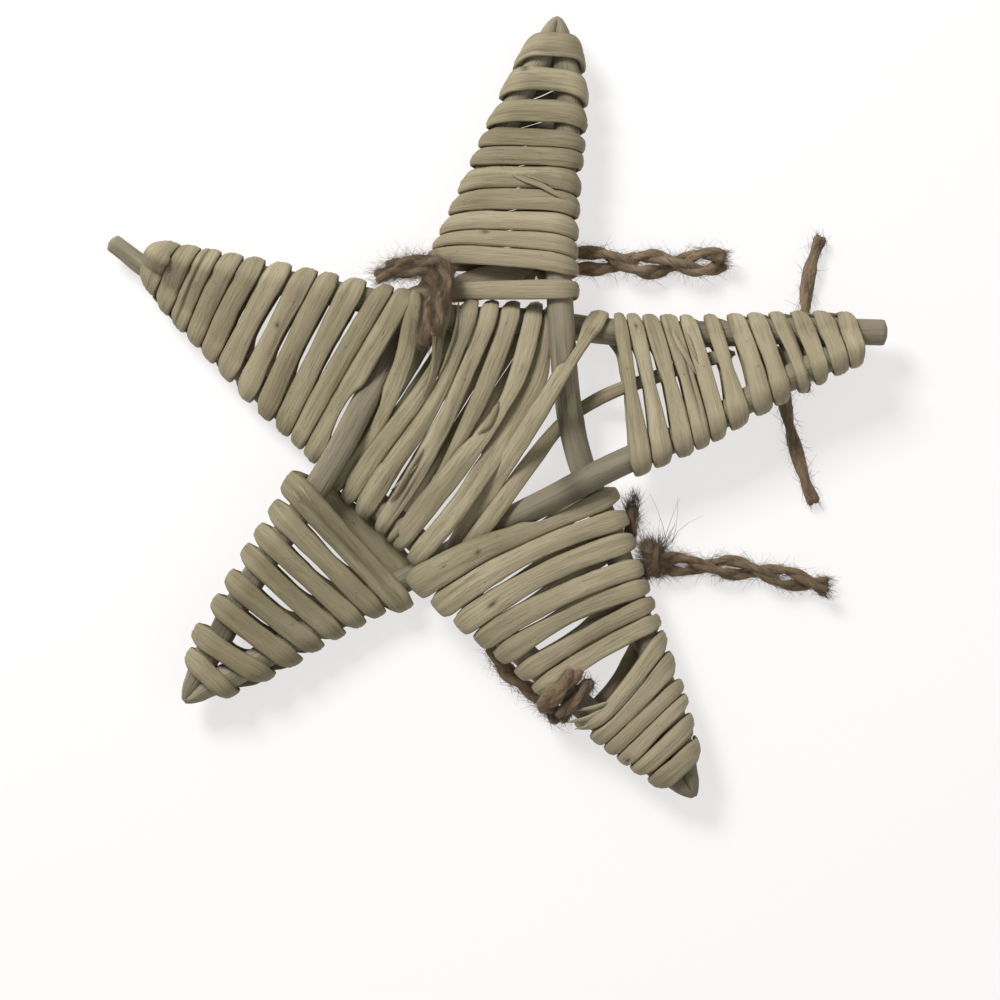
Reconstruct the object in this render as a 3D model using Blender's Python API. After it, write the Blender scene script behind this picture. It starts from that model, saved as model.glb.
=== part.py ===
"""A five-pointed wicker star from a garland, with the jute twine it is tied by.

The frame is one long rod folded at three of the tips, and a straight cross rod.
The two weave over and under each other at the five inner corners. Flat strips
are wound round the rods of every arm and across the middle. The star lies flat:
X and Y are its plane, Z is up, and the origin is under the middle of its box.
"""

import math

import bmesh
import bpy
import numpy as np
from mathutils import Vector

# Driving sizes, in metres
STAR_SPAN = 0.1486
ROD_DIAMETER = 0.0050
STRIP_WIDTH = 0.0038
TUCKED_STRIP_WIDTH = 0.0026
STRIP_THICKNESS = 0.0009
TWINE_DIAMETER = 0.0028
FRAYED_TWINE_DIAMETER = 0.0023
KNOT_LENGTH = 0.0074
KNOT_WIDTH = 0.0044
CLEARANCE = 0.0003
WRAP_CLEARANCE = 0.0004
TURN_GAP = 0.0002
LEAST_TURN_WIDTH = 0.0008

# The star is drawn in picture units, SPAN_UNITS from its left tip to its right tip
SPAN_UNITS = 782.0
UNIT = STAR_SPAN / SPAN_UNITS
DRAWING_CENTRE = (499.0, 406.5)

ROD_RADIUS = ROD_DIAMETER / 2
ARC_STEP = math.radians(45.0)
WRAP_RADIUS = (ROD_RADIUS + WRAP_CLEARANCE) / math.cos(ARC_STEP / 2) + STRIP_THICKNESS / 2
WRAP_REACH = WRAP_RADIUS + STRIP_THICKNESS / 2
CROSSING_LIFT = ROD_RADIUS + CLEARANCE / 2
BED_SLACK = 0.00005
BED = BED_SLACK - CROSSING_LIFT - WRAP_REACH
LINE_STEP = 0.0004
ROD_POINT_SPACING = 0.0066
CORD_POINT_SPACING = 0.0026
STRAIGHT_CORD_SPACING = 0.0045
SHARE_ROUND_ROD = 0.25
END_RING_STEPS = 7
# Where in its turn a place on a strip is: the front starts at 0
ROUND_SECOND, BACK, OVER_FIRST = 30, 50, 60
TAIL_ANGLE = math.radians(80.0)
LEFT_END_STACK = (0.0027, -0.0024)
RIGHT_END_STACK = (0.0013, 0.0051)

# Tips where the long rod is folded, and the routes of its legs, in picture units
TOP_FOLD = (557, 29)
LOWER_RIGHT_FOLD = (688, 785)
LOWER_LEFT_FOLD = (195, 690)

ROD_ROUTES = {
    "cross": [(168, 262), (285, 284), (366, 301), (450, 318), (545, 322), (600, 330),
              (700, 334), (800, 331), (886, 333)],
    "left_leg": [(110, 234), (132, 252), (153, 268), (182, 305), (208, 332), (264, 392),
                 (314, 437), (352, 481), (420, 543), (463, 590), (498, 628), (539, 668),
                 (590, 712), (640, 752), LOWER_RIGHT_FOLD],
    "right_leg": [TOP_FOLD, (567, 75), (561, 190), (558, 255), (560, 306), (583, 468),
                  (606, 522), (624, 571), (640, 621), (652, 655), (672, 715),
                  LOWER_RIGHT_FOLD],
    "long_leg": [TOP_FOLD, (532, 72), (490, 165), (444, 265), (417, 312), (366, 400),
                 (338, 454), (306, 505), (257, 573), (228, 622), LOWER_LEFT_FOLD],
    "low_leg": [(846, 350), (803, 371), (751, 398), (701, 427), (645, 452), (610, 468),
                (555, 497), (500, 525), (440, 560), (378, 594), (320, 625), (276, 649),
                (234, 673), LOWER_LEFT_FOLD],
}
READ_ALONG_Y = {"right_leg", "long_leg"}

# Which rod lies over which at the five inner corners
CORNERS = {
    "upper_left": ("cross", "long_leg"),
    "upper_right": ("right_leg", "cross"),
    "lower_right": ("low_leg", "right_leg"),
    "bottom": ("left_leg", "low_leg"),
    "lower_left": ("long_leg", "left_leg"),
}

# Height of each rod at its two ends, where it isn't a fold at mid height
END_HEIGHTS = {
    "cross": (LEFT_END_STACK[0], RIGHT_END_STACK[0]),
    "left_leg": (LEFT_END_STACK[1], 0.0),
    "right_leg": (0.0, 0.0),
    "long_leg": (0.0, 0.0),
    "low_leg": (RIGHT_END_STACK[1], 0.0),
}

# Each winding runs from the star's middle outwards. A turn crosses the front from
# the first rod to the second. The numbers are where it meets each rod, read along
# the rod in picture units, and how far its middle bows towards the tip.
WINDINGS = {
    "wrap_top": {
        "rods": ("right_leg", "long_leg"),
        "first": [292, 271, 253, 233, 210, 188, 161, 145, 124, 99, 68],
        "second": [285, 256, 240, 224, 205, 184, 160, 142, 122, 92, 62],
        "bows": [0, 8, 8, 8, 9, 8, 5, 3, 10, 12, 12],
    },
    "wrap_left": {
        "rods": ("cross", "left_leg"),
        "first": [393, 375, 352, 330, 309, 285, 260, 238, 216, 195, 177],
        "second": [308, 296, 281, 262, 242, 223, 208, 195, 183, 173, 163],
        "bows": [0, 2, 2, 2, 2, 2, 2, 2, 0, 0, 0],
        "end_ring": 147,
    },
    "wrap_lower_left": {
        "rods": ("long_leg", "low_leg"),
        "first": [492, 515, 537, 558, 585, 610, 640, 662],
        "second": [395, 371, 352, 331, 309, 286, 259, 226],
        "bows": [2, 2, 2, 3, 3, 2, 2, 0],
    },
    "wrap_lower_right": {
        "rods": ("left_leg", "right_leg"),
        "first": [443, 464, 480, 496, 512, 529, 545, 592, 606, 619, 633, 647, 664],
        "second": [504, 526, 548, 573, 591, 609, 627, 645, 667, 688, 706, 725, 748],
        "bows": [6, 4, 2, 0, 0, 0, 0, 0, 0, 0, 0, 2, 2],
    },
    "wrap_right": {
        "rods": ("low_leg", "cross"),
        "first": [617, 635, 655, 677, 694, 710, 729, 752, 772, 793, 811, 829, 845],
        "second": [603, 617, 631, 648, 666, 685, 710, 735, 755, 776, 797, 819, 841],
        "bows": [0, 0, 2, 2, 2, 2, 2, 2, 2, 2, 2, 2, 0],
    },
    "wrap_centre": {
        "rods": ("cross", "left_leg"),
        "first": [418, 452, 472, 490, 507, 522, 537],
        "second": [356, 366, 378, 390, 403, 414, 423],
        "bows": [8, 10, 8, 4, 2, 4, 4],
    },
}

# The strip that starts at the bottom corner, goes over the right leg and round the
# cross rod, and is then wound round the right arm: points as (x, y, height in mm)
RIGHT_WRAP_LEAD = [(457, 541, 1.5), (476, 513, 2.3), (495, 480, 3.0), (522, 438, 3.9),
                   (546, 400, 4.9), (563, 371, 5.5), (577, 350, 5.2), (590, 335, 3.0)]

# The loose strip tucked behind the right leg, with its end inside the right arm
TUCKED_ROUTE = [(491, 528, 3.4), (500, 514, 3.3), (512, 496, 2.5), (522, 481, 1.2),
                (532, 466, -0.7), (546, 445, -2.9), (558, 430, -4.1), (568, 419, -4.5),
                (578, 411, -4.4), (588, 404, -3.8), (598, 398, -2.5), (608, 393, -1.2),
                (620, 389, -0.4), (650, 379, 0.0), (692, 367, 0.0), (735, 359, 0.2)]

# Twine routes: (x, y, height in mm over the lowest place twine may lie)
TIE_ROUTE = [(383, 270, 4.5), (398, 266, 5.6), (420, 265, 7.6), (438, 269, 9.0),
             (444, 281, 10.6), (441, 297, 12.2), (437, 313, 12.6), (434, 328, 12.6),
             (432, 341, 12.0)]
EDGE_ROUTE = [(476, 652, 3.9), (492, 668, 4.4), (508, 684, 4.8), (524, 699, 4.9),
              (538, 711, 4.6)]
UPPER_TAIL_ROUTE = [(521, 262, 0.0), (545, 260, 0.3), (570, 259, 1.0), (600, 260, 1.6),
                    (650, 263, 1.6), (690, 262, 1.6), (727, 259, 1.6)]
LOWER_TAIL_ROUTE = [(669, 564, 1.3), (692, 566, 1.3), (724, 567, 1.3), (760, 572, 1.3),
                    (800, 581, 1.3), (830, 588, 1.3)]
BACK_TWINE_UP = [(806, 392, 0.0), (807, 370, 0.0), (807, 345, 0.0), (807, 318, 0.0),
                 (809, 290, 0.0), (814, 262, 0.0), (824, 234, 0.0)]
BACK_TWINE_DOWN = [(784, 345, 0.0), (784, 370, 0.0), (787, 400, 0.0), (793, 430, 0.0),
                   (801, 458, 0.0), (809, 484, 0.0), (817, 504, 0.0)]
KNOT_PLACE = (655, 559, 2.6)
LOOP_STATION = 566
LOOP_SIDES = 12
UPPER_TWIST_START = 74.0
LOWER_TWIST_START = 10.0
TWIST_HALF_TURN = 55.0
TAIL_SEPARATION = 0.0003


def metres(points):
    """Picture units (x right, y down) to metres (X right, Y up)."""
    points = np.asarray(points, float)
    plan = (points[:, :2] - DRAWING_CENTRE) * (UNIT, -UNIT)
    if points.shape[1] == 2:
        return plan
    return np.column_stack([plan, points[:, 2] / 1000])


def flowing_line(points, step):
    """Evenly spaced points on the cubic curve through the given points."""
    chord = np.linalg.norm(np.diff(points, axis=0), axis=1)
    knots = np.concatenate([[0.0], np.cumsum(chord)])
    slopes = np.gradient(points, knots, axis=0)
    where = np.linspace(0, knots[-1], max(3, round(knots[-1] / step) + 1))
    cell = np.clip(np.searchsorted(knots, where, side="right") - 1, 0, len(chord) - 1)
    length = chord[cell][:, None]
    u = (where - knots[cell])[:, None] / length
    start, end = points[cell], points[cell + 1]
    rise, fall = slopes[cell] * length, slopes[cell + 1] * length
    return ((2 * u**3 - 3 * u**2 + 1) * start + (u**3 - 2 * u**2 + u) * rise
            + (3 * u**2 - 2 * u**3) * end + (u**3 - u**2) * fall)


def unit(vectors):
    """Vectors of length one."""
    return vectors / np.linalg.norm(vectors, axis=-1, keepdims=True)


class Rod:
    """A rod's centreline, looked up by the distance along it."""

    def __init__(self, name):
        self.name = name
        self.plan = flowing_line(metres(ROD_ROUTES[name]), LINE_STEP)
        steps = np.linalg.norm(np.diff(self.plan, axis=0), axis=1)
        self.along = np.concatenate([[0.0], np.cumsum(steps)])
        self.corners = {}

    def weave(self):
        """Give the line its heights: easing from corner to corner."""
        start, end = END_HEIGHTS[self.name]
        stops = sorted(self.corners.values())
        places = [0.0] + [place for place, _ in stops] + [self.along[-1]]
        heights = [start] + [height for _, height in stops] + [end]
        cell = np.clip(np.searchsorted(places, self.along, side="right") - 1, 0, len(places) - 2)
        low, high = np.take(places, cell), np.take(places, cell + 1)
        share = (1 - np.cos(np.pi * (self.along - low) / (high - low))) / 2
        height = np.take(heights, cell) * (1 - share) + np.take(heights, cell + 1) * share
        self.line = np.column_stack([self.plan, height])
        self.heading = unit(np.gradient(self.line, self.along, axis=0))

    def point(self, place):
        """The centreline at a distance along the rod."""
        return np.array([np.interp(place, self.along, axis) for axis in self.line.T])

    def direction(self, place):
        """The rod's heading there."""
        return unit(np.array([np.interp(place, self.along, axis) for axis in self.heading.T]))

    def station(self, reading):
        """The distance along the rod where its x, or its y, has this reading."""
        axis = 1 if self.name in READ_ALONG_Y else 0
        drawn = self.plan[:, axis] / (-UNIT if axis else UNIT) + DRAWING_CENTRE[axis]
        order = np.argsort(drawn)
        return float(np.interp(reading, drawn[order], self.along[order]))

    def clear_of_corners(self, place):
        """The nearest distance along where a full turn passes the crossing rod."""
        for corner, reach in self.reaches.items():
            middle = self.corners[corner][0]
            if abs(place - middle) < reach:
                place = middle + math.copysign(reach, place - middle)
        return place


def make_rods():
    """The five centrelines, woven over and under each other."""
    rods = {name: Rod(name) for name in ROD_ROUTES}
    for corner, (over, under) in CORNERS.items():
        gaps = np.linalg.norm(rods[over].plan[:, None] - rods[under].plan[None], axis=2)
        at_over, at_under = np.unravel_index(np.argmin(gaps), gaps.shape)
        rods[over].corners[corner] = (rods[over].along[at_over], CROSSING_LIFT)
        rods[under].corners[corner] = (rods[under].along[at_under], -CROSSING_LIFT)
    for rod in rods.values():
        rod.weave()
    for corner, pair in CORNERS.items():
        first, second = (rods[name] for name in pair)
        headings = [rod.direction(rod.corners[corner][0])[:2] for rod in (first, second)]
        slant = abs(headings[0][0] * headings[1][1] - headings[0][1] * headings[1][0])
        reach = (ROD_RADIUS + CLEARANCE + STRIP_WIDTH / 2) / slant
        for rod in (first, second):
            rod.reaches = {**getattr(rod, "reaches", {}), corner: reach}
    return rods


def spaced(places, least):
    """The same places along a rod, each at least a turn's width past the last."""
    sign = math.copysign(1.0, places[-1] - places[0])
    out = [places[0]]
    for place in places[1:]:
        out.append(sign * max(sign * place, sign * out[-1] + least))
    return out


class Winding:
    """One strip wound round two rods, as a list of centre points and face normals."""

    def __init__(self, rods, plan, lead=None):
        self.first, self.second = (rods[name] for name in plan["rods"])
        least = LEAST_TURN_WIDTH + TURN_GAP
        self.on_first = spaced([self.first.station(x) for x in plan["first"]], least)
        self.on_second = [self.second.clear_of_corners(self.second.station(x))
                          for x in plan["second"]]
        self.on_second = spaced(self.on_second, least)
        self.bows = [bow * UNIT for bow in plan["bows"]]
        self.end_ring = plan.get("end_ring")
        self.others = [rod for rod in rods.values() if rod not in (self.first, self.second)]
        self.points, self.normals, self.turns = [], [], []
        if lead is not None:
            self.add_lead(lead)
        self.wind(lead is not None)

    def add(self, turn, point, normal):
        """One more place on the strip."""
        self.points.append(point)
        self.normals.append(normal)
        self.turns.append(turn)

    def add_lead(self, lead):
        """The stretch before the winding, lying on its back."""
        for point in metres(lead):
            self.add((-1, len(self.points)), point, np.array([0.0, 0.0, 1.0]))

    def faces_up(self, on_first, on_second):
        """The direction up from both rods, square to the line between them."""
        across = unit(self.second.point(on_second) - self.first.point(on_first))
        up = np.array([0.0, 0.0, 1.0])
        return unit(up - up.dot(across) * across)

    def off_rod(self, rod, other, place, across_place, up, angle):
        """A point on the turn round a rod, angle 0 above it and 180 degrees below."""
        heading = rod.direction(place)
        up = unit(up - up.dot(heading) * heading)
        out = np.cross(heading, up)
        if out.dot(rod.point(place) - other.point(across_place)) < 0:
            out = -out
        normal = math.cos(angle) * up + math.sin(angle) * out
        return rod.point(place) + WRAP_RADIUS * normal, normal

    def arc(self, turn, rod, other, start, end, ups, across, angles):
        """Points round one rod while the strip moves along it."""
        for step, angle in enumerate(angles):
            share = angle / math.pi
            place = start * (1 - share) + end * share
            up = unit(ups[0] * (1 - share) + ups[1] * share)
            point, normal = self.off_rod(rod, other, place, across, up, angle)
            self.add((turn, ROUND_SECOND + step), point, normal)

    def wind(self, led):
        """All the turns: across the front, round, across the back, round."""
        quarter = [ARC_STEP, 2 * ARC_STEP, 3 * ARC_STEP]
        count = len(self.on_first)
        for turn in range(count):
            first, second = self.on_first[turn], self.on_second[turn]
            up = self.faces_up(first, second)
            if turn == 0 and led:
                self.join_lead(second, up)
            else:
                if turn == 0:
                    for step, angle in enumerate((TAIL_ANGLE, TAIL_ANGLE / 2)):
                        self.add((-1, OVER_FIRST + 1 + step), *self.off_rod(
                            self.first, self.second, first, second, up, angle))
                self.front(turn, first, second, up)
            if turn == count - 1:
                self.finish(turn, first, second, up)
                return
            self.back(turn, second, up, quarter)

    def finish(self, turn, first, second, up):
        """The strip's end: a tail laid over the second rod, or a ring round it."""
        if self.end_ring is None:
            for step, angle in enumerate((TAIL_ANGLE / 2, TAIL_ANGLE)):
                self.add((turn, ROUND_SECOND + step), *self.off_rod(
                    self.second, self.first, second, first, up, angle))
            return
        ring = self.second.station(self.end_ring)
        for step in range(1, END_RING_STEPS + 1):
            angle = step * ARC_STEP
            place = second + (ring - second) * min(1.0, angle / math.pi)
            self.add((turn, ROUND_SECOND - 1 + step), *self.off_rod(
                self.second, self.first, place, first, up, angle))

    def join_lead(self, second, up):
        """The lead comes over the second rod without crossing from the first."""
        self.add((0, 2), *self.off_rod(
            self.second, self.first, second, self.on_first[0], up, 0.0))

    def front(self, turn, first, second, up):
        """Across the front in a slight bow."""
        begin, normal_a = self.off_rod(self.first, self.second, first, second, up, 0.0)
        finish, normal_b = self.off_rod(self.second, self.first, second, first, up, 0.0)
        tipward = self.tipward()
        for step, share in enumerate((0.0, 0.5, 1.0)):
            bow = 4 * share * (1 - share) * self.bows[turn] * tipward
            point = begin * (1 - share) + finish * share + bow
            self.add((turn, step), point, unit(normal_a * (1 - share) + normal_b * share))

    def tipward(self):
        """The way along the arm, from the star's middle to the tip."""
        ways = []
        for rod, places in ((self.first, self.on_first), (self.second, self.on_second)):
            ways.append(unit(rod.point(places[-1]) - rod.point(places[0])))
        way = ways[0] + ways[1]
        way[2] = 0.0
        return unit(way)

    def back(self, turn, second, up, quarter):
        """Round the second rod, across the back and round the first rod."""
        next_first, next_second = self.on_first[turn + 1], self.on_second[turn + 1]
        leave = second + SHARE_ROUND_ROD * (next_second - second)
        leave = self.second.clear_of_corners(leave)
        arrive = next_first - SHARE_ROUND_ROD * (next_first - self.on_first[turn])
        arrive = self.first.clear_of_corners(arrive)
        up_back = self.faces_up(arrive, leave)
        self.arc(turn, self.second, self.first, second, leave, (up, up_back), arrive, quarter)
        begin, normal_a = self.off_rod(self.second, self.first, leave, arrive, up_back, math.pi)
        finish, normal_b = self.off_rod(self.first, self.second, arrive, leave, up_back, math.pi)
        for step, share in enumerate((0.0, 0.5, 1.0)):
            point = begin * (1 - share) + finish * share
            self.add((turn, BACK + step), point,
                     unit(normal_a * (1 - share) + normal_b * share))
        up_next = self.faces_up(next_first, next_second)
        for step, angle in enumerate(reversed(quarter)):
            share = 1 - angle / math.pi
            place = arrive * (1 - share) + next_first * share
            up_here = unit(up_back * (1 - share) + up_next * share)
            self.add((turn, OVER_FIRST + step), *self.off_rod(
                self.first, self.second, place, leave, up_here, angle))

    def strip(self, width):
        """Corner points of the strip's section all along it, narrowed beside close turns."""
        points = np.array(self.points)
        tangents = unit(np.gradient(points, axis=0))
        normals = np.array(self.normals)
        normals = unit(normals - np.sum(normals * tangents, axis=1)[:, None] * tangents)
        sides = np.cross(tangents, normals)
        halves = np.full((len(points), 2), width / 2)
        index = {turn: number for number, turn in enumerate(self.turns)}
        for number, (turn, phase) in enumerate(self.turns):
            for neighbour in (index.get((turn - 1, phase)), index.get((turn + 1, phase))):
                if neighbour is not None:
                    away = points[neighbour] - points[number]
                    side = 0 if away.dot(sides[number]) > 0 else 1
                    room = self.room_beside(points, normals, sides, number, away)
                    halves[number, side] = min(halves[number, side], room)
            for rod in self.others:
                side, room = room_from_rod(rod, points[number], normals[number], sides[number])
                halves[number, side] = min(halves[number, side], room)
        halves = np.maximum(halves, LEAST_TURN_WIDTH / 2)
        return section_rings(points, normals, sides, halves)

    def room_beside(self, points, normals, sides, number, away):
        """Half the free width up to the next turn, beside both stretches that meet here."""
        room = []
        for start in (number - 1, number):
            if 0 <= start < len(points) - 1:
                stretch = unit(points[start + 1] - points[start])
                square = unit(np.cross(stretch, normals[number]))
                spread = max(0.5, abs(square.dot(sides[number])))
                room.append((abs(away.dot(square)) - TURN_GAP) / 2 / spread)
        return min(room)


def room_from_rod(rod, point, normal, side):
    """Which edge of a strip faces a crossing rod, and how far it may reach."""
    away = rod.line[np.argmin(np.linalg.norm(rod.line - point, axis=1))] - point
    beside, above = away.dot(side), away.dot(normal)
    keep = ROD_RADIUS + CLEARANCE + STRIP_THICKNESS / 2
    edge = 0 if beside > 0 else 1
    if abs(above) >= keep:
        return edge, math.inf
    return edge, abs(beside) - math.sqrt(keep**2 - above**2)


def section_rings(points, normals, sides, halves):
    """Four corners of a flat section at each point."""
    lift = normals * STRIP_THICKNESS / 2
    one, two = sides * halves[:, :1], sides * halves[:, 1:]
    return np.stack([points + one + lift, points - two + lift,
                     points - two - lift, points + one - lift], axis=1)


def new_material(name, colour, roughness):
    """A plain principled finish."""
    material = bpy.data.materials.new(name)
    material.use_nodes = True
    shader = material.node_tree.nodes["Principled BSDF"]
    shader.inputs["Base Color"].default_value = (*colour, 1.0)
    shader.inputs["Roughness"].default_value = roughness
    return material


def loft(name, rings, material, collection):
    """A closed solid through equal rings of corners, with flat ends."""
    count, corners = rings.shape[:2]
    faces = [tuple(range(corners))[::-1], tuple(range((count - 1) * corners, count * corners))]
    for ring in range(count - 1):
        for corner in range(corners):
            following = (corner + 1) % corners
            faces.append((ring * corners + corner, ring * corners + following,
                          (ring + 1) * corners + following, (ring + 1) * corners + corner))
    mesh = bpy.data.meshes.new(name)
    mesh.from_pydata(rings.reshape(-1, 3).tolist(), [], faces)
    mesh.materials.append(material)
    mesh.update()
    obj = bpy.data.objects.new(name, mesh)
    collection.objects.link(obj)
    face_outwards(obj)
    return obj


def face_outwards(obj):
    """Turn the faces of a closed mesh the right way out."""
    mesh = obj.data
    mesh.calc_loop_triangles()
    corners = np.array([mesh.vertices[v].co for t in mesh.loop_triangles for v in t.vertices])
    a, b, c = corners.reshape(-1, 3, 3).transpose(1, 0, 2)
    if np.sum(a * np.cross(b, c)) < 0:
        mesh.flip_normals()


def tube(name, line, radius, material, collection, closed=False):
    """A round tube along a line of points, as a bevelled curve."""
    curve = bpy.data.curves.new(name, "CURVE")
    curve.dimensions = "3D"
    curve.bevel_depth = radius
    curve.bevel_resolution = 2
    curve.use_fill_caps = not closed
    curve.resolution_u = 1
    curve.render_resolution_u = 0
    spline = curve.splines.new("POLY")
    spline.points.add(len(line) - 1)
    for place, point in zip(spline.points, line):
        place.co = (*point, 1.0)
    spline.use_cyclic_u = closed
    curve.materials.append(material)
    obj = bpy.data.objects.new(name, curve)
    collection.objects.link(obj)
    return obj


def as_mesh(obj):
    """A curve object made into a mesh object of the same name, with welded caps."""
    graph = bpy.context.evaluated_depsgraph_get()
    mesh = bpy.data.meshes.new_from_object(obj.evaluated_get(graph))
    work = bmesh.new()
    work.from_mesh(mesh)
    bmesh.ops.remove_doubles(work, verts=work.verts, dist=0.000001)
    work.to_mesh(mesh)
    work.free()
    name, collections, place = obj.name, obj.users_collection, obj.matrix_world.copy()
    bpy.data.objects.remove(obj)
    made = bpy.data.objects.new(name, mesh)
    made.matrix_world = place
    for collection in collections:
        collection.objects.link(made)
    return made


def rod_points(rod):
    """Points for a rod's tube: one on every corner, and even steps between."""
    stops = sorted([0.0, rod.along[-1]] + [place for place, _ in rod.corners.values()])
    places = [stops[0]]
    for start, end in zip(stops, stops[1:]):
        steps = max(2, round((end - start) / ROD_POINT_SPACING))
        places.extend(np.linspace(start, end, steps + 1)[1:])
    return [rod.point(place) for place in places]


def make_folded_rod(rods, material, collection, cutters):
    """Four legs and three rounded folds, joined into one rod."""
    names = ("left_leg", "right_leg", "long_leg", "low_leg")
    legs = [as_mesh(tube(name, rod_points(rods[name]), ROD_RADIUS, material, cutters))
            for name in names]
    folds = []
    for number, fold in enumerate((LOWER_RIGHT_FOLD, TOP_FOLD, LOWER_LEFT_FOLD)):
        bpy.ops.mesh.primitive_uv_sphere_add(segments=12, ring_count=8, radius=ROD_RADIUS * 1.03,
                                             location=(*metres([fold])[0], 0.0),
                                             rotation=(0.0, 0.0, 0.2 + number))
        ball = bpy.context.object
        ball.name = f"fold_{number + 1}"
        for linked in ball.users_collection:
            linked.objects.unlink(ball)
        cutters.objects.link(ball)
        folds.append(ball)
    body = bpy.data.objects.new("folded_rod", legs[0].data.copy())
    collection.objects.link(body)
    for part in (legs[1], folds[0], legs[2], folds[1], legs[3], folds[2]):
        joint = body.modifiers.new(f"join_{part.name}", "BOOLEAN")
        joint.operation = "UNION"
        joint.object = part
    for part in legs + folds:
        part.hide_render = True
        part.display_type = "WIRE"
    return body


def twine_line(route, radius, spacing=CORD_POINT_SPACING):
    """A twine's centreline from its route: heights count from where it would lie."""
    line = metres(route)
    line[:, 2] += BED + radius
    return flowing_line(line, spacing)


def twisted_pair(route, diameter, twist_start):
    """Two strands laid round each other after a first straight stretch."""
    line = twine_line(route, diameter / 2)
    steps = np.linalg.norm(np.diff(line, axis=0), axis=1)
    along = np.concatenate([[0.0], np.cumsum(steps)])
    phase = np.pi * np.clip(along / UNIT - twist_start, 0, None) / TWIST_HALF_TURN
    heading = unit(np.gradient(line, axis=0))
    level = unit(np.cross([0.0, 0.0, 1.0], heading))
    swing = (diameter + TAIL_SEPARATION) / 2
    offset = swing * (np.cos(phase)[:, None] * level
                      + np.sin(phase)[:, None] * np.array([[0.0, 0.0, 1.0]]))
    return line + offset, line - offset


def make_knot(material, collection):
    """The overhand knot, as a plain rounded lump."""
    x, y, height = metres([KNOT_PLACE])[0]
    bpy.ops.mesh.primitive_uv_sphere_add(segments=10, ring_count=6, radius=0.5,
                                         scale=(KNOT_WIDTH, KNOT_LENGTH, KNOT_WIDTH),
                                         location=(x, y, BED + height))
    knot = bpy.context.object
    knot.name = "twine_knot"
    knot.data.materials.append(material)
    for linked in knot.users_collection:
        linked.objects.unlink(knot)
    collection.objects.link(knot)
    return knot


def make_tucked_strip(material, collection):
    """The narrow strip end that goes behind the right leg into the right arm."""
    points = flowing_line(metres(TUCKED_ROUTE), STRIP_WIDTH)
    tangents = unit(np.gradient(points, axis=0))
    up = np.array([[0.0, 0.0, 1.0]])
    normals = unit(up - np.sum(up * tangents, axis=1)[:, None] * tangents)
    halves = np.full((len(points), 2), TUCKED_STRIP_WIDTH / 2)
    rings = section_rings(points, normals, np.cross(tangents, normals), halves)
    return loft("tucked_strip", rings, material, collection)


def make_loop(rods, material, collection):
    """The twine tied round the left leg, in the gap between two turns."""
    rod = rods["left_leg"]
    place = rod.station(LOOP_STATION)
    heading = rod.direction(place)
    side = unit(np.cross(heading, [0.0, 0.0, 1.0]))
    up = np.cross(side, heading)
    radius = (ROD_RADIUS + CLEARANCE) / math.cos(math.pi / LOOP_SIDES) + TWINE_DIAMETER / 2
    angles = np.linspace(0, 2 * math.pi, LOOP_SIDES, endpoint=False)[:, None]
    line = rod.point(place) + radius * (np.cos(angles) * side + np.sin(angles) * up)
    return tube("twine_loop", line, TWINE_DIAMETER / 2, material, collection, closed=True)


def seat_on_origin(parts, measured):
    """Parent every part to an empty that puts the measured parts' box on the origin."""
    bpy.context.view_layer.update()
    graph = bpy.context.evaluated_depsgraph_get()
    lows, highs = [], []
    for part in measured:
        mesh = part.evaluated_get(graph).to_mesh()
        corners = np.array([part.matrix_world @ v.co for v in mesh.vertices])
        lows.append(corners.min(axis=0))
        highs.append(corners.max(axis=0))
        part.evaluated_get(graph).to_mesh_clear()
    low, high = np.min(lows, axis=0), np.max(highs, axis=0)
    seat = bpy.data.objects.new("star_seat", None)
    seat.location = Vector((-(low[0] + high[0]) / 2, -(low[1] + high[1]) / 2, -low[2]))
    parts[0].users_collection[0].objects.link(seat)
    for part in parts:
        part.parent = seat


def main():
    """Build every part of the star."""
    for obj in list(bpy.data.objects):
        bpy.data.objects.remove(obj)
    star = bpy.data.collections.new("wicker_star")
    helpers = bpy.data.collections.new("cutters")
    for collection in (star, helpers):
        bpy.context.scene.collection.children.link(collection)
    rod_bark = new_material("willow_rod", (0.26, 0.22, 0.15), 0.65)
    strip_skin = new_material("willow_strip", (0.38, 0.32, 0.2), 0.6)
    jute = new_material("jute", (0.19, 0.12, 0.065), 0.95)

    rods = make_rods()
    solid = [make_folded_rod(rods, rod_bark, star, helpers),
             tube("cross_rod", rod_points(rods["cross"]), ROD_RADIUS, rod_bark, star)]
    for name, plan in WINDINGS.items():
        lead = RIGHT_WRAP_LEAD if name == "wrap_right" else None
        rings = Winding(rods, plan, lead).strip(STRIP_WIDTH)
        solid.append(loft(name, rings, strip_skin, star))
    solid.append(make_tucked_strip(strip_skin, star))
    solid.append(make_loop(rods, jute, star))
    radius = TWINE_DIAMETER / 2
    solid.append(tube("twine_tie", twine_line(TIE_ROUTE, radius), radius, jute, star))
    solid.append(tube("twine_edge", twine_line(EDGE_ROUTE, radius), radius, jute, star))
    solid.append(make_knot(jute, star))

    cords = []
    upper = twisted_pair(UPPER_TAIL_ROUTE, TWINE_DIAMETER, UPPER_TWIST_START)
    lower = twisted_pair(LOWER_TAIL_ROUTE, FRAYED_TWINE_DIAMETER, LOWER_TWIST_START)
    for number, line in enumerate(upper):
        cords.append(tube(f"twine_upper_{number + 1}", line, radius, jute, star))
    for number, line in enumerate(lower):
        name = f"twine_lower_{number + 1}"
        cords.append(tube(name, line, FRAYED_TWINE_DIAMETER / 2, jute, star))
    for name, route in (("twine_back_up", BACK_TWINE_UP), ("twine_back_down", BACK_TWINE_DOWN)):
        line = twine_line(route, radius, STRAIGHT_CORD_SPACING)
        cords.append(tube(name, line, radius, jute, star))
    seat_on_origin(solid + cords + list(helpers.objects), solid)


main()
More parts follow.
